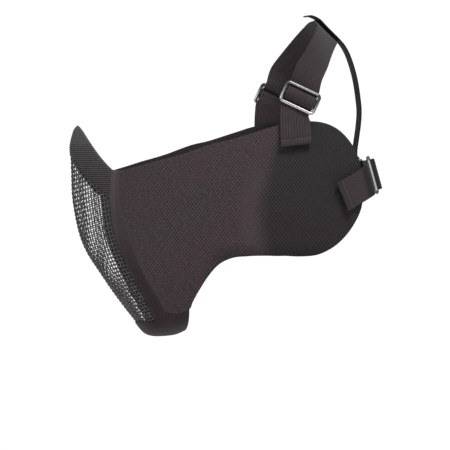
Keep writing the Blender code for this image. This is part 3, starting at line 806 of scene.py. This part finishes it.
def stitch_group():
    """Short raised thread ends at even steps along a seam, lying along it."""
    group = Group("stitches", [(label, "NodeSocketFloat", value) for label, value in (
        ("Pitch", stitch_pitch), ("Length", stitch_length), ("Thread Radius", stitch_radius),
        ("Turn", 0.0))])
    given = group.given
    line = group.value("GeometryNodeMeshToCurve", {"Mesh": given["Geometry"]})
    steps = group.value("GeometryNodeResampleCurve", {"Curve": line, "Length": given["Pitch"]},
                        mode="LENGTH")
    ball = group.value("GeometryNodeMeshUVSphere", {"Segments": 6, "Rings": 5, "Radius": 0.5})
    wide = given["Thread Radius"] * 2
    up = group.value("GeometryNodeInputNamedAttribute", {"Name": "up"},
                     data_type="FLOAT_VECTOR")
    along = group.value("FunctionNodeAlignRotationToVector",
                        {"Vector": group.value("GeometryNodeInputTangent")}, axis="X")
    level = group.value("FunctionNodeAlignRotationToVector", {"Rotation": along, "Vector": up},
                        axis="Z", pivot_axis="X")
    turn = group.value("FunctionNodeEulerToRotation", {"Euler": group.vector(z=given["Turn"])})
    turned = group.value("FunctionNodeRotateRotation", {"Rotation": level, "Rotate By": turn},
                         rotation_space="LOCAL")
    return group.finish(group.value("GeometryNodeInstanceOnPoints", {
        "Points": steps, "Instance": ball, "Rotation": turned,
        "Scale": group.vector(given["Length"], wide, wide)}))


def repeated(name, lines, group, finish, replaced=(), ups=None, **values):
    """Piece that a node group makes along lines of points. ups are the lines' upward ways."""
    mesh = bpy.data.meshes.new(name + "_lines")
    starts = np.cumsum([0] + [len(line) for line in lines])
    mesh.from_pydata([tuple(p) for line in lines for p in line],
                     [(first + i, first + i + 1) for first, line in zip(starts, lines)
                      for i in range(len(line) - 1)], [])
    if ups is not None:
        point_values(mesh, "up", np.concatenate(ups), "FLOAT_VECTOR")
    source = bpy.data.objects.new(name + "_lines", mesh)
    bpy.context.scene.collection.objects.link(source)
    modifier = source.modifiers.new("repeat", "NODES")
    modifier.node_group = group
    values = {"Material": materials[finish], **values}
    for item in group.interface.items_tree:
        if item.in_out == "INPUT" and item.name in values:
            modifier[item.identifier] = values[item.name]
    bpy.context.view_layer.update()
    made = bpy.data.meshes.new_from_object(
        source.evaluated_get(bpy.context.evaluated_depsgraph_get()))
    made.name = name
    bpy.data.objects.remove(source)
    bpy.data.meshes.remove(mesh)
    return add_piece(name, made, finish, replaced)


# ---- Materials ----

class Look(Nodes):
    """One material: a Principled shader and the values that feed it."""

    def __init__(self, name, colour, roughness, metallic=0.0, specular=0.5, sheen=0.0):
        self.material = bpy.data.materials.new(name)
        self.material.use_nodes = True
        self.material.diffuse_color = (*colour, 1)
        super().__init__(self.material.node_tree)
        for key, value in (("Base Color", (*colour, 1)), ("Roughness", roughness),
                           ("Metallic", metallic), ("Specular IOR Level", specular),
                           ("Sheen Weight", sheen)):
            self.set(key, value)

    def set(self, key, value):
        self.feed(self.tree.nodes["Principled BSDF"].inputs[key], value)

    def place(self):
        """Place on the object, in metres."""
        return self.value("ShaderNodeTexCoord", output="Object")

    def cloth(self):
        """Place on the cloth, across and along, in metres."""
        return self.value("ShaderNodeUVMap", uv_map="cloth")

    def attribute(self, name):
        return self.value("ShaderNodeAttribute", output="Fac", attribute_name=name)

    def noise(self, scale, detail=2, vector=None):
        return self.value("ShaderNodeTexNoise", {
            "Vector": vector or self.place(), "Scale": scale, "Detail": detail}, "Fac")

    def shaded_inside(self, colour):
        """The colour outside, and darker on the lining, as painted shade inside the hollow."""
        return self.value("ShaderNodeMix", {0: self.attribute("lining"), 6: colour,
                                            7: (0.5, 0.5, 0.5, 1)}, 2,
                          data_type="RGBA", blend_type="MULTIPLY")

    def scaled(self, colour, factor):
        """The colour, lighter or darker by the factor."""
        return self.value("ShaderNodeVectorMath", {0: colour, "Scale": factor},
                          operation="SCALE")

    def mix(self, share, first, second):
        return self.value("ShaderNodeMix", {0: share, 6: first, 7: second}, 2,
                          data_type="RGBA")

    def tones(self, share, colour, low, high):
        """The colour from one strength of it to another."""
        return self.mix(share, shade(colour, low), shade(colour, high))

    def bump(self, height, distance, strength):
        self.set("Normal", self.value("ShaderNodeBump", {
            "Height": height, "Distance": distance, "Strength": strength}, "Normal"))


def shade(colour, factor=1.0):
    return (*(c * factor for c in colour), 1)


def wire_look():
    colour = (0.092, 0.086, 0.088)
    look = Look("black_wire", colour, 0.34, 0.35, specular=0.6)
    grain = look.noise(900, 3)
    worn = look.noise(160).between(0.52, 0.72)
    look.set("Base Color", look.tones(worn * 0.55, colour, 0.85, 2.0))
    look.set("Roughness", 0.28 + grain * 0.22)
    look.bump(grain, 0.00006, 0.6)
    return look.material


def knit_look():
    """Ribbed knit: loops along each rib, with painted light on the rib crests and painted shade
    in the grooves between them, and painted light towards the peak.
    """
    colour = (0.0410, 0.0350, 0.0368)
    lit_peak_colour = (0.0610, 0.0580, 0.0580)
    look = Look("ribbed_knit", colour, 0.88, specular=0.25, sheen=0.06)
    x, y, z = look.axes(look.place())
    rib = (z / rib_pitch).wave()
    plain = z.between(plain_start, plain_end)
    aslant = y + x * 0.5
    loops = (aslant / 0.0009 + (z / rib_pitch) * 0.5).wave()
    fuzz = look.noise(2600, 3)
    dash = look.noise(300, 1, look.vector(aslant, z * 2.2, z)).between(0.30, 0.70)
    # painted light and shade: the ribs are lighter on their crests and darker in their grooves,
    # in step with their relief
    ribbed = (rib - 0.5) * (dash + 0.60) * (1 - plain) + 0.5
    tone = ribbed * 0.80 + loops * 0.10 + fuzz * 0.22 + look.noise(45) * 0.20
    tone = tone.between(0.15, 1.15)
    # painted light: the trim grows lighter towards the peak, where light falls from above and in
    # front
    look.set("Base Color", look.shaded_inside(look.mix(
        z.between(-0.024, 0.030), look.tones(tone, colour, 0.12, 1.95),
        look.tones(tone, lit_peak_colour, 0.35, 1.65))))
    look.set("Roughness", 0.80 + fuzz * 0.15)
    look.bump(loops * 0.5 + fuzz * 0.7, 0.00012, 0.8)
    return look.material


def smooth_look(name, front_colour, line):
    """Smooth binding and chin cloth: fine jersey with a soft nap, darker towards the bottom as
    painted shade. The front colour shows before the line along the binding, which carries a
    painted highlight."""
    shaded_low_colour = (0.0240, 0.0160, 0.0185)
    look = Look(name, jersey_colour, 0.86, specular=0.25, sheen=0.05)
    across, along, _ = look.axes(look.cloth())
    _, _, z = look.axes(look.place())
    fine = (across / 0.0006).wave() * (along / 0.0006).wave()
    fuzz = look.noise(2200, 3)
    patch = look.noise(38)
    tone = (fine * 0.25 + fuzz * 0.35 + patch * 0.5).between(0.15, 0.95)
    # painted shade: the cloth is darker towards the bottom, away from the light above
    high = (z + patch * 0.02).between(-0.085, 0.000)
    past = across - line
    # painted highlight: a thin lighter line along the binding's fold
    fold_highlight = high * (1 - abs(past).between(0.0001, 0.0007))
    upper = look.mix(past.between(-0.0010, 0.0010), shade(front_colour), shade(jersey_colour))
    upper = look.scaled(upper, tone * 0.30 + 0.84 + fold_highlight * 0.35)
    look.set("Base Color", look.shaded_inside(look.mix(
        high, look.tones(tone, shaded_low_colour, 0.84, 1.14), upper)))
    look.bump(fine * 0.6 + fuzz * 0.5, 0.00008, 0.7)
    return look.material


def woven_look():
    """Coarse plain weave of two threads, the lighter one on top at every other crossing."""
    colour = (0.0420, 0.0300, 0.0338)
    look = Look("woven_cloth", colour, 0.90, specular=0.25, sheen=0.05)
    across, along, _ = look.axes(look.cloth())
    _, y, z = look.axes(look.place())
    drift = look.noise(90) * 0.0008 + look.noise(380, 1) * 0.0005
    a = (across + drift) * (math.pi / weave_cell[1])
    b = (along + drift) * (math.pi / weave_cell[0])
    cross = a.math("SINE") * b.math("SINE") * look.attribute("seam").between(0.0, 0.005)
    fibre = look.noise(3000, 3)
    patch = look.noise(26)

    # Painted shade: the cloth behind a bowed fold is darker, where the wing turns away from the
    # light; the fold's crest has a painted highlight
    fold = y - 0.1113 - ((z + 0.037) / 0.037) ** 2 * 0.0055 + (patch - 0.5) * 0.010
    rear = fold.between(-0.0065, 0.0070)
    front = 1 - rear
    slub = look.noise(520, 2, look.vector(across * 1.9 - along * 0.8, (across + along) * 0.5))
    slub = slub.between(0.32, 0.68)
    even = look.noise(130).between(0.35, 0.65)
    cross = cross * (slub * 0.8 * front + even * 0.6 + rear * 0.8 + 0.30)
    over = (cross * 0.5 + 0.5 + (slub - 0.5) * front * 0.50).between(-0.25, 1.25)
    front_colour = look.mix(patch.between(0.35, 0.65), shade((0.0410, 0.0312, 0.0340)),
                            shade((0.0432, 0.0290, 0.0338)))
    shaded_rear_colour = look.mix(z.between(-0.055, -0.015), shade((0.0222, 0.0172, 0.0184), 0.95),
                           shade((0.0212, 0.0192, 0.0195), 0.97))
    tone = look.scaled(look.mix(rear, front_colour, shaded_rear_colour), over * 1.30 + 0.40)
    crest = fold.between(-0.023, -0.011) * (1 - fold.between(-0.009, 0.002))
    crest = crest * (1 - z.between(-0.020, 0.012))
    # random patches of wear, plus the painted highlight on the fold's crest
    worn = (patch * 0.6 + fibre * 0.4).between(0.25, 0.75) * 0.18 + crest * 0.42
    tone = look.mix(worn * front, tone, shade(colour, 1.45))
    # painted shade: darker along the lower edge, where it lies against the neck
    shaded = (1 - z.between(-0.072, -0.058)) * y.between(0.062, 0.092)
    tone = look.scaled(tone, 1 - shaded * 0.45)
    dark_edge = look.attribute("edge").between(0.0, 0.0010)
    look.set("Base Color", look.shaded_inside(look.mix(dark_edge, shade(colour, 0.6), tone)))
    look.set("Roughness", 0.84 + fibre * 0.12)
    look.bump(over ** 1.5 + fibre * 0.25, 0.00028, 0.9)
    return look.material


def webbing_look(name, colour):
    """Woven webbing: lengthwise ribs of slanting picks, with painted shade along the edges and
    between the ribs. It is worn smooth behind the ears, with a folded hem that has a painted
    highlight and painted shade in its crease, darker on the crown, and painted shade round the
    nape."""
    look = Look(name, colour, 0.78, specular=0.3, sheen=0.06)
    across, along, _ = look.axes(look.cloth())
    _, y, z = look.axes(look.place())
    ribs = across * (web_ribs / web_width)
    rib = abs((ribs * math.pi).math("SINE"))
    picks = (along / 0.0011 + ribs.math("PINGPONG", 0.5) * 1.2).wave()
    fibre = look.noise(2600, 3)
    rear = y.between(0.150, 0.160)
    streak = look.noise(800, 1, look.vector(across, along * 0.10, z * 0.2)).between(0.30, 0.65)
    # painted light and shade: the ribs are lighter on their crests and darker between them, in
    # step with their relief
    ribbed = (rib - 0.5) * (streak * 0.9 + 0.35) * (1 - rear * 0.7)
    tone = picks * 0.15 + ribbed + fibre * 0.15 + look.noise(40) * 0.2
    worn = look.tones(tone.between(-0.55, 1.05), colour, 0.42, 1.60)
    end = look.attribute("end")
    # painted highlight on the flap of the folded end
    flap = rear * (1 - end.between(0.0028, 0.0032))
    # painted shade in the crease of the hem
    crease = rear * (1 - abs(end - hem_width).between(0.0002, 0.0009))
    # painted shade: darker next to the nape buckle, where the webbing turns away into it
    nape = (y + z * 0.29).between(0.1905, 0.1955) * (1 - z.between(0.02, 0.04))
    crown = z.between(0.040, 0.060)
    worn = look.scaled(worn, 1 + flap * 0.22 + rear * 0.10 - crown * 0.16 - crease * 0.50
                       - nape * 0.70)
    # painted shade along the webbing's edges
    dark_edge = look.attribute("edge").between(0.0, 0.0008)
    look.set("Base Color", look.mix(dark_edge, shade(colour, 0.4), worn))
    look.bump(picks * 0.8 + fibre * 0.3 + flap * 1.5, 0.00012, 0.8)
    return look.material


def nickel_look():
    """Nickel plate, with painted shade on the side rails and the middle bar. At the nape it is
    duller, and paler as a painted highlight, which makes the lower buckle's bar stand out as in
    the photograph."""
    colour = (0.52, 0.51, 0.505)
    look = Look("nickel", colour, 0.30, 1.0)
    fine = look.noise(1500, 3)
    dull = look.noise(220, 3).between(0.42, 0.75)
    lit_share = look.attribute("lit_share")
    _, y, z = look.axes(look.place())
    rear = y.between(0.190, 0.196) * (1 - z.between(0.015, 0.025))
    # painted shade on the side rails and middle bar, and a painted highlight, the paler colour,
    # at the nape
    look.set("Base Color", look.scaled(look.tones(dull * 0.5, colour, 1.10, 0.72),
                                       (0.16 + lit_share * 0.84) * (1 + rear * 0.65)))
    look.set("Roughness", 0.24 + dull * 0.16 + fine * 0.06 + (1 - lit_share) * 0.14 + rear * 0.22)
    look.bump(fine, 0.00002, 0.5)
    return look.material


def thread_look(name, colour):
    look = Look(name, colour, 0.75, sheen=0.1)
    fibre = look.noise(5200)
    look.set("Base Color", look.tones(fibre, colour, 0.8, 1.25))
    look.bump(fibre, 0.00005, 0.6)
    return look.material


jersey_colour = (0.054, 0.042, 0.045)
materials = {
    "wire_mesh": wire_look(),
    "ribbed_trim": knit_look(),
    "smooth_cloth": smooth_look("smooth_cloth", jersey_colour, -1.0),
    "band_cloth": smooth_look("band_cloth", (0.060, 0.0535, 0.0545), 0.0045),
    "woven_cloth": woven_look(),
    "webbing": webbing_look("webbing", (0.0295, 0.0215, 0.0246)),
    # the back strap is the same webbing, painted much darker as shade
    "back_strap": webbing_look("back_strap", (0.0130, 0.0105, 0.0112)),
    "buckle": nickel_look(),
    "thread": thread_look("thread", (0.110, 0.102, 0.105)),
    "seam_thread": thread_look("seam_thread", (0.046, 0.038, 0.041)),
    "dark_thread": thread_look("dark_thread", (0.034, 0.027, 0.030)),
}
slots = {name: name for name in materials}
slots["thread"] = slots["dark_thread"] = slots["back_strap"] = "webbing"
slots["seam_thread"] = slots["band_cloth"] = "smooth_cloth"


# ---- Net ----

def line_place(top_z, share):
    """Side view place of a wire that wraps round: its start on the profile, then to the rear."""
    y0 = front_y(top_z)
    climb = wire_rise * (mesh_edge_y(top_z) - y0)
    for _ in range(2):
        y1 = mesh_edge_y(top_z + climb)
        climb = wire_rise * (y1 - y0)
    return y0 + (y1 - y0) * share, top_z + climb * share, y1 - y0


def profile_starts():
    """Heights on the profile, a pitch apart along it, from the trim to below the net."""
    z = mesh_top_z * mask_height + wire_pitch
    starts = []
    while z > (mesh_bottom_z - net_foot) * mask_height:
        starts.append(z)
        slope = (front_y(z) - front_y(z - probe)) / probe
        z -= value_at(wire_row_rows, z / mask_height) / math.hypot(1, slope)
    return starts


def net_nodes():
    """Crossings of the net on one side, by line and by step along it, and which are wanted."""
    starts = profile_starts()
    at = np.arange(int(net_reach / wire_pitch)) * wire_pitch
    places = np.zeros((len(starts), len(at), 3))
    wanted = np.zeros(places.shape[:2], bool)
    edge = to_grid([[front_point(trim_foot, i / foot_steps) for i in range(foot_steps + 1)]])[0]
    for i, top_z in enumerate(starts):
        width = line_place(top_z, 1.0)[2]
        shares = [ridge_share(k / ridge_steps) for k in range(ridge_steps + 1)]
        path = []
        for share in shares + [1 + k * wire_reach / width for k in (1, 2)]:
            y, z, _ = line_place(top_z, share)
            path.append((skin_x(y, z) if path else 0.0, y, z))
        path = np.array(path)
        run = distances(path)
        for axis in range(3):
            places[i, :, axis] = np.interp(at, run, path[:, axis])
        past = at > run[-1]
        places[i, past] += ((path[-1] - path[-2]) / (run[-1] - run[-2])
                            * (at[past] - run[-1])[:, None])
        _, y, z = places[i].T
        wanted[i] = ((at < run[ridge_steps] + wire_reach)
                     & (z < np.interp(y, edge[:, 1], edge[:, 2]) + wire_reach)
                     & (z > mesh_bottom_z * mask_height - wire_reach))
    return places, wanted


def runs(points, wanted):
    """Unbroken runs of the wanted points of a line."""
    cuts = np.flatnonzero(np.diff(wanted)) + 1
    parts = zip(np.split(points, cuts), np.split(wanted, cuts))
    return [part for part, use in parts if use[0] and len(part) > 1]


def add_net():
    """Woven wires, which pass over and under each other by turns."""
    places, wanted = net_nodes()
    places = np.concatenate([places[:, :0:-1] * (-1, 1, 1), places], axis=1)
    wanted = np.concatenate([wanted[:, :0:-1], wanted], axis=1)
    out = outward(places)
    odd = np.add.outer(*map(np.arange, wanted.shape)) % 2 * 2 - 1
    woven = places + out * (odd * wire_radius)[:, :, None]
    crossed = places - out * (odd * wire_radius)[:, :, None]
    lines = []
    for grid, at, use in ((places, woven, wanted),
                          (places.swapaxes(0, 1), crossed.swapaxes(0, 1), wanted.T)):
        between = (grid[:, 1:] + grid[:, :-1]) / 2
        for row in range(len(grid)):
            points = np.zeros((2 * grid.shape[1] - 1, 3))
            points[::2], points[1::2] = at[row], between[row]
            keep = np.zeros(len(points), bool)
            keep[::2], keep[1::2] = use[row], use[row][1:] & use[row][:-1]
            lines += runs(points, keep)
    repeated("wire_net", lines, tube_group(), "wire_mesh", ["mesh_panel"])


# ---- Cloth of the front ----

def trim_relief(t, edge, grid):
    """Ribs, which fade out towards the plain peak."""
    z = grid[:, :, 2]
    plain = np.clip((z - plain_start) / (plain_end - plain_start), 0, 1)
    ribs = np.sin(2 * math.pi * z / rib_pitch) * rib_height * (1 - plain)
    return ribs * np.clip(edge / relief_fade, 0, 1)


def add_trim():
    rows = []
    height = (peak_z - mesh_top_z) * mask_height
    across = spread(2 * trim_half, trim_step, trim_wall / 2)
    for w in spread(height, trim_step, trim_wall / 2):
        w = w - (1 - w) * net_cover / height
        row = tuple(a + (b - a) * w for a, b in zip(trim_foot, trim_top))
        rows.append([front_point(row, u) for u in across[len(across) // 2:] * 2 - 1])
    shell("nose_trim_knit", both_sides(rows), trim_wall, "ribbed_trim", ["nose_trim"],
          trim_relief, (cover_rim, 1, seam_rim, seam_rim))


def hem(t, edge, grid):
    """A turned hem round the rim, with the dip of its stitching."""
    rise = np.clip((hem_width - edge) / hem_slope + 0.5, 0, 1)
    dip = np.exp(-((edge - hem_width * hem_dip_share) / hem_dip_width) ** 2)
    return hem_height * (rise * rise * (3 - 2 * rise) - hem_dip_depth * dip)


def seam_line(grid, at, lift):
    """Points at a share across each row of a grid, lifted off it, and which way is up."""
    out = outward(grid)
    column = at * (grid.shape[1] - 1)
    i = int(column)
    t = column - i
    up = out[:, i] * (1 - t) + out[:, i + 1] * t
    return grid[:, i] * (1 - t) + grid[:, i + 1] * t + up * lift, up


def add_band(side_name, side):
    """Smooth band between the net and the wing, stitched near both of its seams."""
    rows = []
    for share in spread((peak_edge_z - mesh_bottom_z) * mask_height, cloth_step, band_wall / 2):
        (y0, z0), (y1, z1) = band_line(share)
        rows.append([])
        for u in spread(band_width, cloth_step, band_wall / 2):
            u = u - (1 - u) * net_cover / band_width
            rows[-1].append(skin_point(y0 + (y1 - y0) * u, z0 + (z1 - z0) * u))
    grid = to_grid(rows) * (side, 1, 1)
    band = shell(f"edge_band_cloth_{side_name}", grid, band_wall, "band_cloth",
                 [f"edge_band_{side_name}"], None, (1, seam_rim, cover_rim, seam_rim))
    sewn = grid[band_seam_margin:-band_seam_margin]
    lines, ups = zip(*(seam_line(sewn, at, band_wall / 2) for at in band_seams))
    repeated(f"edge_band_stitches_{side_name}", lines, stitches, "seam_thread", ups=ups)
    return band


def wing_lay(grid):
    """Flat coordinates of the wing's cloth, which was cut from straight woven cloth."""
    y = np.linspace(*lay_reach)
    run = distances(np.array([(skin_x(at, lay_height), at) for at in y]))
    return np.stack([grid[:, :, 2], np.interp(grid[:, :, 1], y, run)], -1)


def add_wing(side_name, side):
    """Coarse woven wing in its soft folds, hemmed round its free edges."""
    columns, lines = wing_grid
    coarse = to_grid([[wing_point(*wing_place(i / columns, j / lines))
                       for j in range(lines + 1)] for i in range(columns + 1)]) * (side, 1, 1)
    start = coarse[0] - coarse[1]
    coarse[0] += start / np.linalg.norm(start, axis=1, keepdims=True) * wing_lap
    grid = smooth_run(coarse, spread(run_length(coarse)[-1], cloth_step, panel_wall / 2))
    grid = resample(grid, np.arange(len(grid)),
                    spread(wing_height, cloth_step, panel_wall / 2) * lines)
    return shell(f"side_panel_cloth_{side_name}", grid, panel_wall, "woven_cloth",
                 [f"side_panel_{side_name}"], hem, (seam_rim, 1, 1, 1), wing_lay)


def add_chin():
    """Smooth cup under the chin, with a plain free edge."""
    rim_line = chin_rim()
    last = len(rim_line) - 1
    rows = []
    for i, p in enumerate(rim_line):
        keel_y, keel_z = metres(point_along(keel_rows, i / last))
        drop = math.dist(p, (0, keel_y, keel_z))
        start = -chin_lap / drop if drop > chin_lap else 0.0
        rows.append([])
        for j in range(chin_grid, -1, -1):
            w = start + (1 - start) * j / chin_grid
            turn = max(w, 0) * math.pi / 2
            rows[-1].append((p.x * math.cos(turn) if j < chin_grid else 0.0,
                             p.y + (keel_y - p.y) * w, p.z + (keel_z - p.z) * math.sin(turn)))
    coarse = both_sides(rows)
    grid = resample(coarse, spread(run_length(coarse)[-1], cloth_step, chin_wall / 2) * last,
                    spread(chin_across, cloth_step, chin_wall / 2) * (coarse.shape[1] - 1))
    shell("chin_piece_cloth", grid, chin_wall, "smooth_cloth", ["chin_piece"], None,
          (1, 1, seam_rim, seam_rim))


# ---- Harness ----

def web_relief(t, edge, grid):
    """Lengthwise ribs, on both faces of the webbing."""
    ribs = np.abs(np.sin(math.pi * web_ribs * t / web_width)) - web_rib_base
    return web_rib_height * ribs * np.clip(edge / relief_fade, 0, 1)


def add_webbing(name, rows, replaced, finish="webbing"):
    """Ribbed webbing along rows of three points across."""
    grid = to_grid(rows)
    grid = smooth_run(grid, spread(run_length(grid)[-1], web_step, web_wall / 2))
    grid = resample(grid, np.arange(len(grid)),
                    spread(web_width, web_width / (4 * web_ribs), web_wall / 2) * 2)
    shell(name, grid, web_wall, finish, [replaced], web_relief)


def threaded_rows(free, buckle, table):
    """Rows of a strap from the middle plane, through a buckle, to its folded free end."""
    threaded = buckle.rows(strap_thread())
    rows = (smooth_rows(free + threaded[:1]) + threaded[1:-2]
            + smooth_rows(threaded[-2:] + tail_rows(table)))
    return rows + hem_rows(rows)


def whole_strap(rows):
    """Rows of the right side's end, over the middle plane, to the left side's end."""
    grid = to_grid(rows)
    return np.concatenate([grid[:0:-1] * (-1, 1, 1), grid])


def end_stitches(name, rows, side, finish):
    """Stitching across a folded end, on its outer layer."""
    end, run, out = strap_end(rows)
    shift = out * (web_wall / 2 + end_stitch_lift) - run * end_stitch_back
    line = to_grid([[end[0].lerp(end[2], t) + shift for t in end_stitch_shares]])
    repeated(name, line * (side, 1, 1), stitches, finish, Turn=math.pi / 2, **end_stitch,
             ups=to_grid([[out] * len(end_stitch_shares)]) * (side, 1, 1))


def add_harness():
    crown = threaded_rows(crown_strap_rows()[::-1], upper_buckle, upper_lie_rows)
    free = [strap_row(harness_point(x, y, lower_strap_z, mask_height), tilt_vector(lower_tilt))
            for x, y in lower_strap_rows]
    lower = threaded_rows(free, lower_buckle, lower_lie_rows)
    add_webbing("crown_webbing", whole_strap(crown), "crown_strap")
    add_webbing("lower_webbing", whole_strap(lower), "lower_strap")
    for side_name, side in side_names:
        end_stitches(f"crown_end_stitches_{side_name}", crown, side, "thread")
        end_stitches(f"lower_end_stitches_{side_name}", lower, side, "dark_thread")
        for level, buckle, table in (("upper", upper_buckle, upper_lie_rows),
                                     ("lower", lower_buckle, lower_lie_rows)):
            sewn = [lying_row(*place, on_wing) for place in table[tab_rows - 1::-1]]
            threaded = buckle.rows(tab_thread())
            rows = smooth_rows(sewn + threaded[:2]) + threaded[2:]
            add_webbing(f"{level}_tab_webbing_{side_name}", to_grid(rows) * (side, 1, 1),
                        f"{level}_tab_{side_name}")
            add_buckle(f"{level}_tri_glide_{side_name}", buckle, side,
                       f"{level}_buckle_{side_name}")
    add_back_webbing()


def add_back_webbing():
    """Webbing from in front of the crown strap, over it, and down to the lower strap."""
    _, crown_y, crown_z, crown_tilt, _ = crown_rows[-1]
    along = tilt_vector(crown_tilt)
    seat = harness_point(0, crown_y, crown_z)
    seat += Vector((0, -along.z, along.y)) * (web_wall + 2 * layer_gap)
    route = [harness_point(0, *place) for place in back_end_rows]
    route += [seat + along * (web_width * k) for k in back_seat_shares]
    route += [harness_point(0, *place) for place in back_rows]
    add_webbing("back_webbing", [strap_row(p, Vector((1, 0, 0))) for p in route], "back_strap",
                "back_strap")


def ring_points(half_wide, half_run, radius):
    """Centre line of a rounded rectangle."""
    points = []
    for cx, cy, start in ((1, 1, 0), (-1, 1, 90), (-1, -1, 180), (1, -1, 270)):
        for x, y in arc(radius, [start + 90 * k / ring_steps for k in range(ring_steps + 1)]):
            points.append((cx * (half_wide - radius) + x, cy * (half_run - radius) + y, 0))
    return np.array(points)


def round_bar(points, wide, high, closed, sides=14):
    """Points and faces of a bar along a flat line, from its radii in the plane and out of it."""
    ahead, back = np.roll(points, -1, 0), np.roll(points, 1, 0)
    if not closed:
        ahead[-1], back[0] = points[-1], points[0]
    run = ahead - back
    flat = np.cross(run / np.linalg.norm(run, axis=1, keepdims=True), (0, 0, 1))
    turns = 2 * math.pi * np.arange(sides)[:, None] / sides
    verts = (points[:, None] + flat[:, None] * (wide * np.cos(turns))
             + np.array((0, 0, 1)) * (high * np.sin(turns)))
    count = len(points)
    faces = [[i * sides + k, i * sides + (k + 1) % sides,
              (i + 1) % count * sides + (k + 1) % sides, (i + 1) % count * sides + k]
             for i in range(count if closed else count - 1) for k in range(sides)]
    if not closed:
        faces += [list(range(sides))[::-1], list(range((count - 1) * sides, count * sides))]
    return verts.reshape(-1, 3), faces


def add_buckle(name, buckle, side, replaced):
    """Tri-glide: a rounded frame of round bars and a middle bar, with painted shade on its side
    rails and middle bar.
    """
    radius = bar_depth / 2
    wide = web_width / 2 + thread_gap + radius
    points, faces = round_bar(ring_points(wide, bar_pitch, ring_corner), radius * rail_wide,
                              radius, True)
    bar = np.array([(x * wide, 0, 0) for x in np.linspace(-1, 1, 9)])
    bar_points, bar_faces = round_bar(bar, radius * middle_wide, radius * middle_wide, False)
    mesh = bpy.data.meshes.new(name)
    mesh.from_pydata(points.tolist() + bar_points.tolist(), [],
                     faces + [[len(points) + k for k in face] for face in bar_faces])
    # painted shade: the side rails are dark, on a steep buckle only up its upper part, which is
    # darker as a whole; the middle bar is dark all over
    rails = np.clip((np.abs(points[:, 0]) - wide + rail_shade_end) / rail_shade_fade, 0, 1)
    steep = round(buckle.run.z)
    upper = (np.clip((points[:, 1] / bar_pitch - rail_dark[0]) / rail_dark[1], 0, 1) if steep
             else 1)
    lit_share = (1 - rails * upper) * (1 - top_bar_shade * upper * steep)
    point_values(mesh, "lit_share", np.concatenate([lit_share, np.zeros(len(bar_points))]))
    mesh.transform(buckle.matrix())
    if side < 0:
        mesh.transform(Matrix.Scale(-1, 4, (1, 0, 0)))
        mesh.flip_normals()
    add_piece(name, mesh, "buckle", [replaced])


# ---- The pieces ----

stitches = stitch_group()
add_net()
add_trim()
for side_name, side in side_names:
    band = add_band(side_name, side)
    wing = add_wing(side_name, side)
add_chin()
add_harness()

# ---- Floor, light and camera ----

floor_radius = 1.4
floor_z = -0.42
floor_mesh = bpy.data.meshes.new("floor")
floor_turns = [2 * math.pi * k / 64 for k in range(64)]
floor_mesh.from_pydata([(floor_radius * math.cos(a), floor_radius * math.sin(a), floor_z)
                        for a in floor_turns], [], [list(range(len(floor_turns)))])
floor_mesh.materials.append(Look("floor", (0.86, 0.86, 0.86), 0.8).material)
floor = bpy.data.objects.new("floor", floor_mesh)
bpy.context.scene.collection.objects.link(floor)

world = bpy.data.worlds.new("studio")
world.use_nodes = True
sky = Nodes(world.node_tree)
_, _, height = sky.axes(sky.value("ShaderNodeTexCoord", output="Generated"))
light = sky.value("ShaderNodeMapRange",
                  {"Value": height, "From Min": -1.0, "To Min": 0.06, "To Max": 0.66}, "Result")
seen = sky.value("ShaderNodeLightPath", output="Is Camera Ray")
white = sky.value("ShaderNodeMix", {"Factor": seen, "A": light, "B": 1.05}, "Result")
background = world.node_tree.nodes["Background"]
sky.feed(background.inputs["Strength"], white)
sky.feed(background.inputs["Color"], (1, 1, 1, 1))
bpy.context.scene.world = world
bpy.context.scene.view_settings.view_transform = "Standard"

target = Vector((0.0110, 0.0897, -0.0456))


def aim(name, data, place):
    """Object at a place that looks at the target."""
    made = bpy.data.objects.new(name, data)
    made.location = place
    made.rotation_euler = (target - Vector(place)).to_track_quat("-Z", "Y").to_euler()
    bpy.context.scene.collection.objects.link(made)
    return made


for name, place, size, power in (("key", (1.05, 0.50, 1.35), 0.5, 22),
                                 ("front", (1.0, -1.3, 0.6), 1.0, 7),
                                 ("rear", (-1.1, 0.6, 0.9), 0.9, 3)):
    lamp = bpy.data.lights.new(name, "AREA")
    lamp.size = size
    lamp.energy = power
    aim(name, lamp, place)

camera_distance = 10.0
frame_width = 0.360
azimuth = math.radians(83)
optics = bpy.data.cameras.new("camera")
optics.sensor_width = 36
optics.lens = optics.sensor_width * camera_distance / frame_width
bpy.context.scene.camera = aim("camera", optics, target + camera_distance * Vector(
    (math.sin(azimuth), -math.cos(azimuth), 0)))
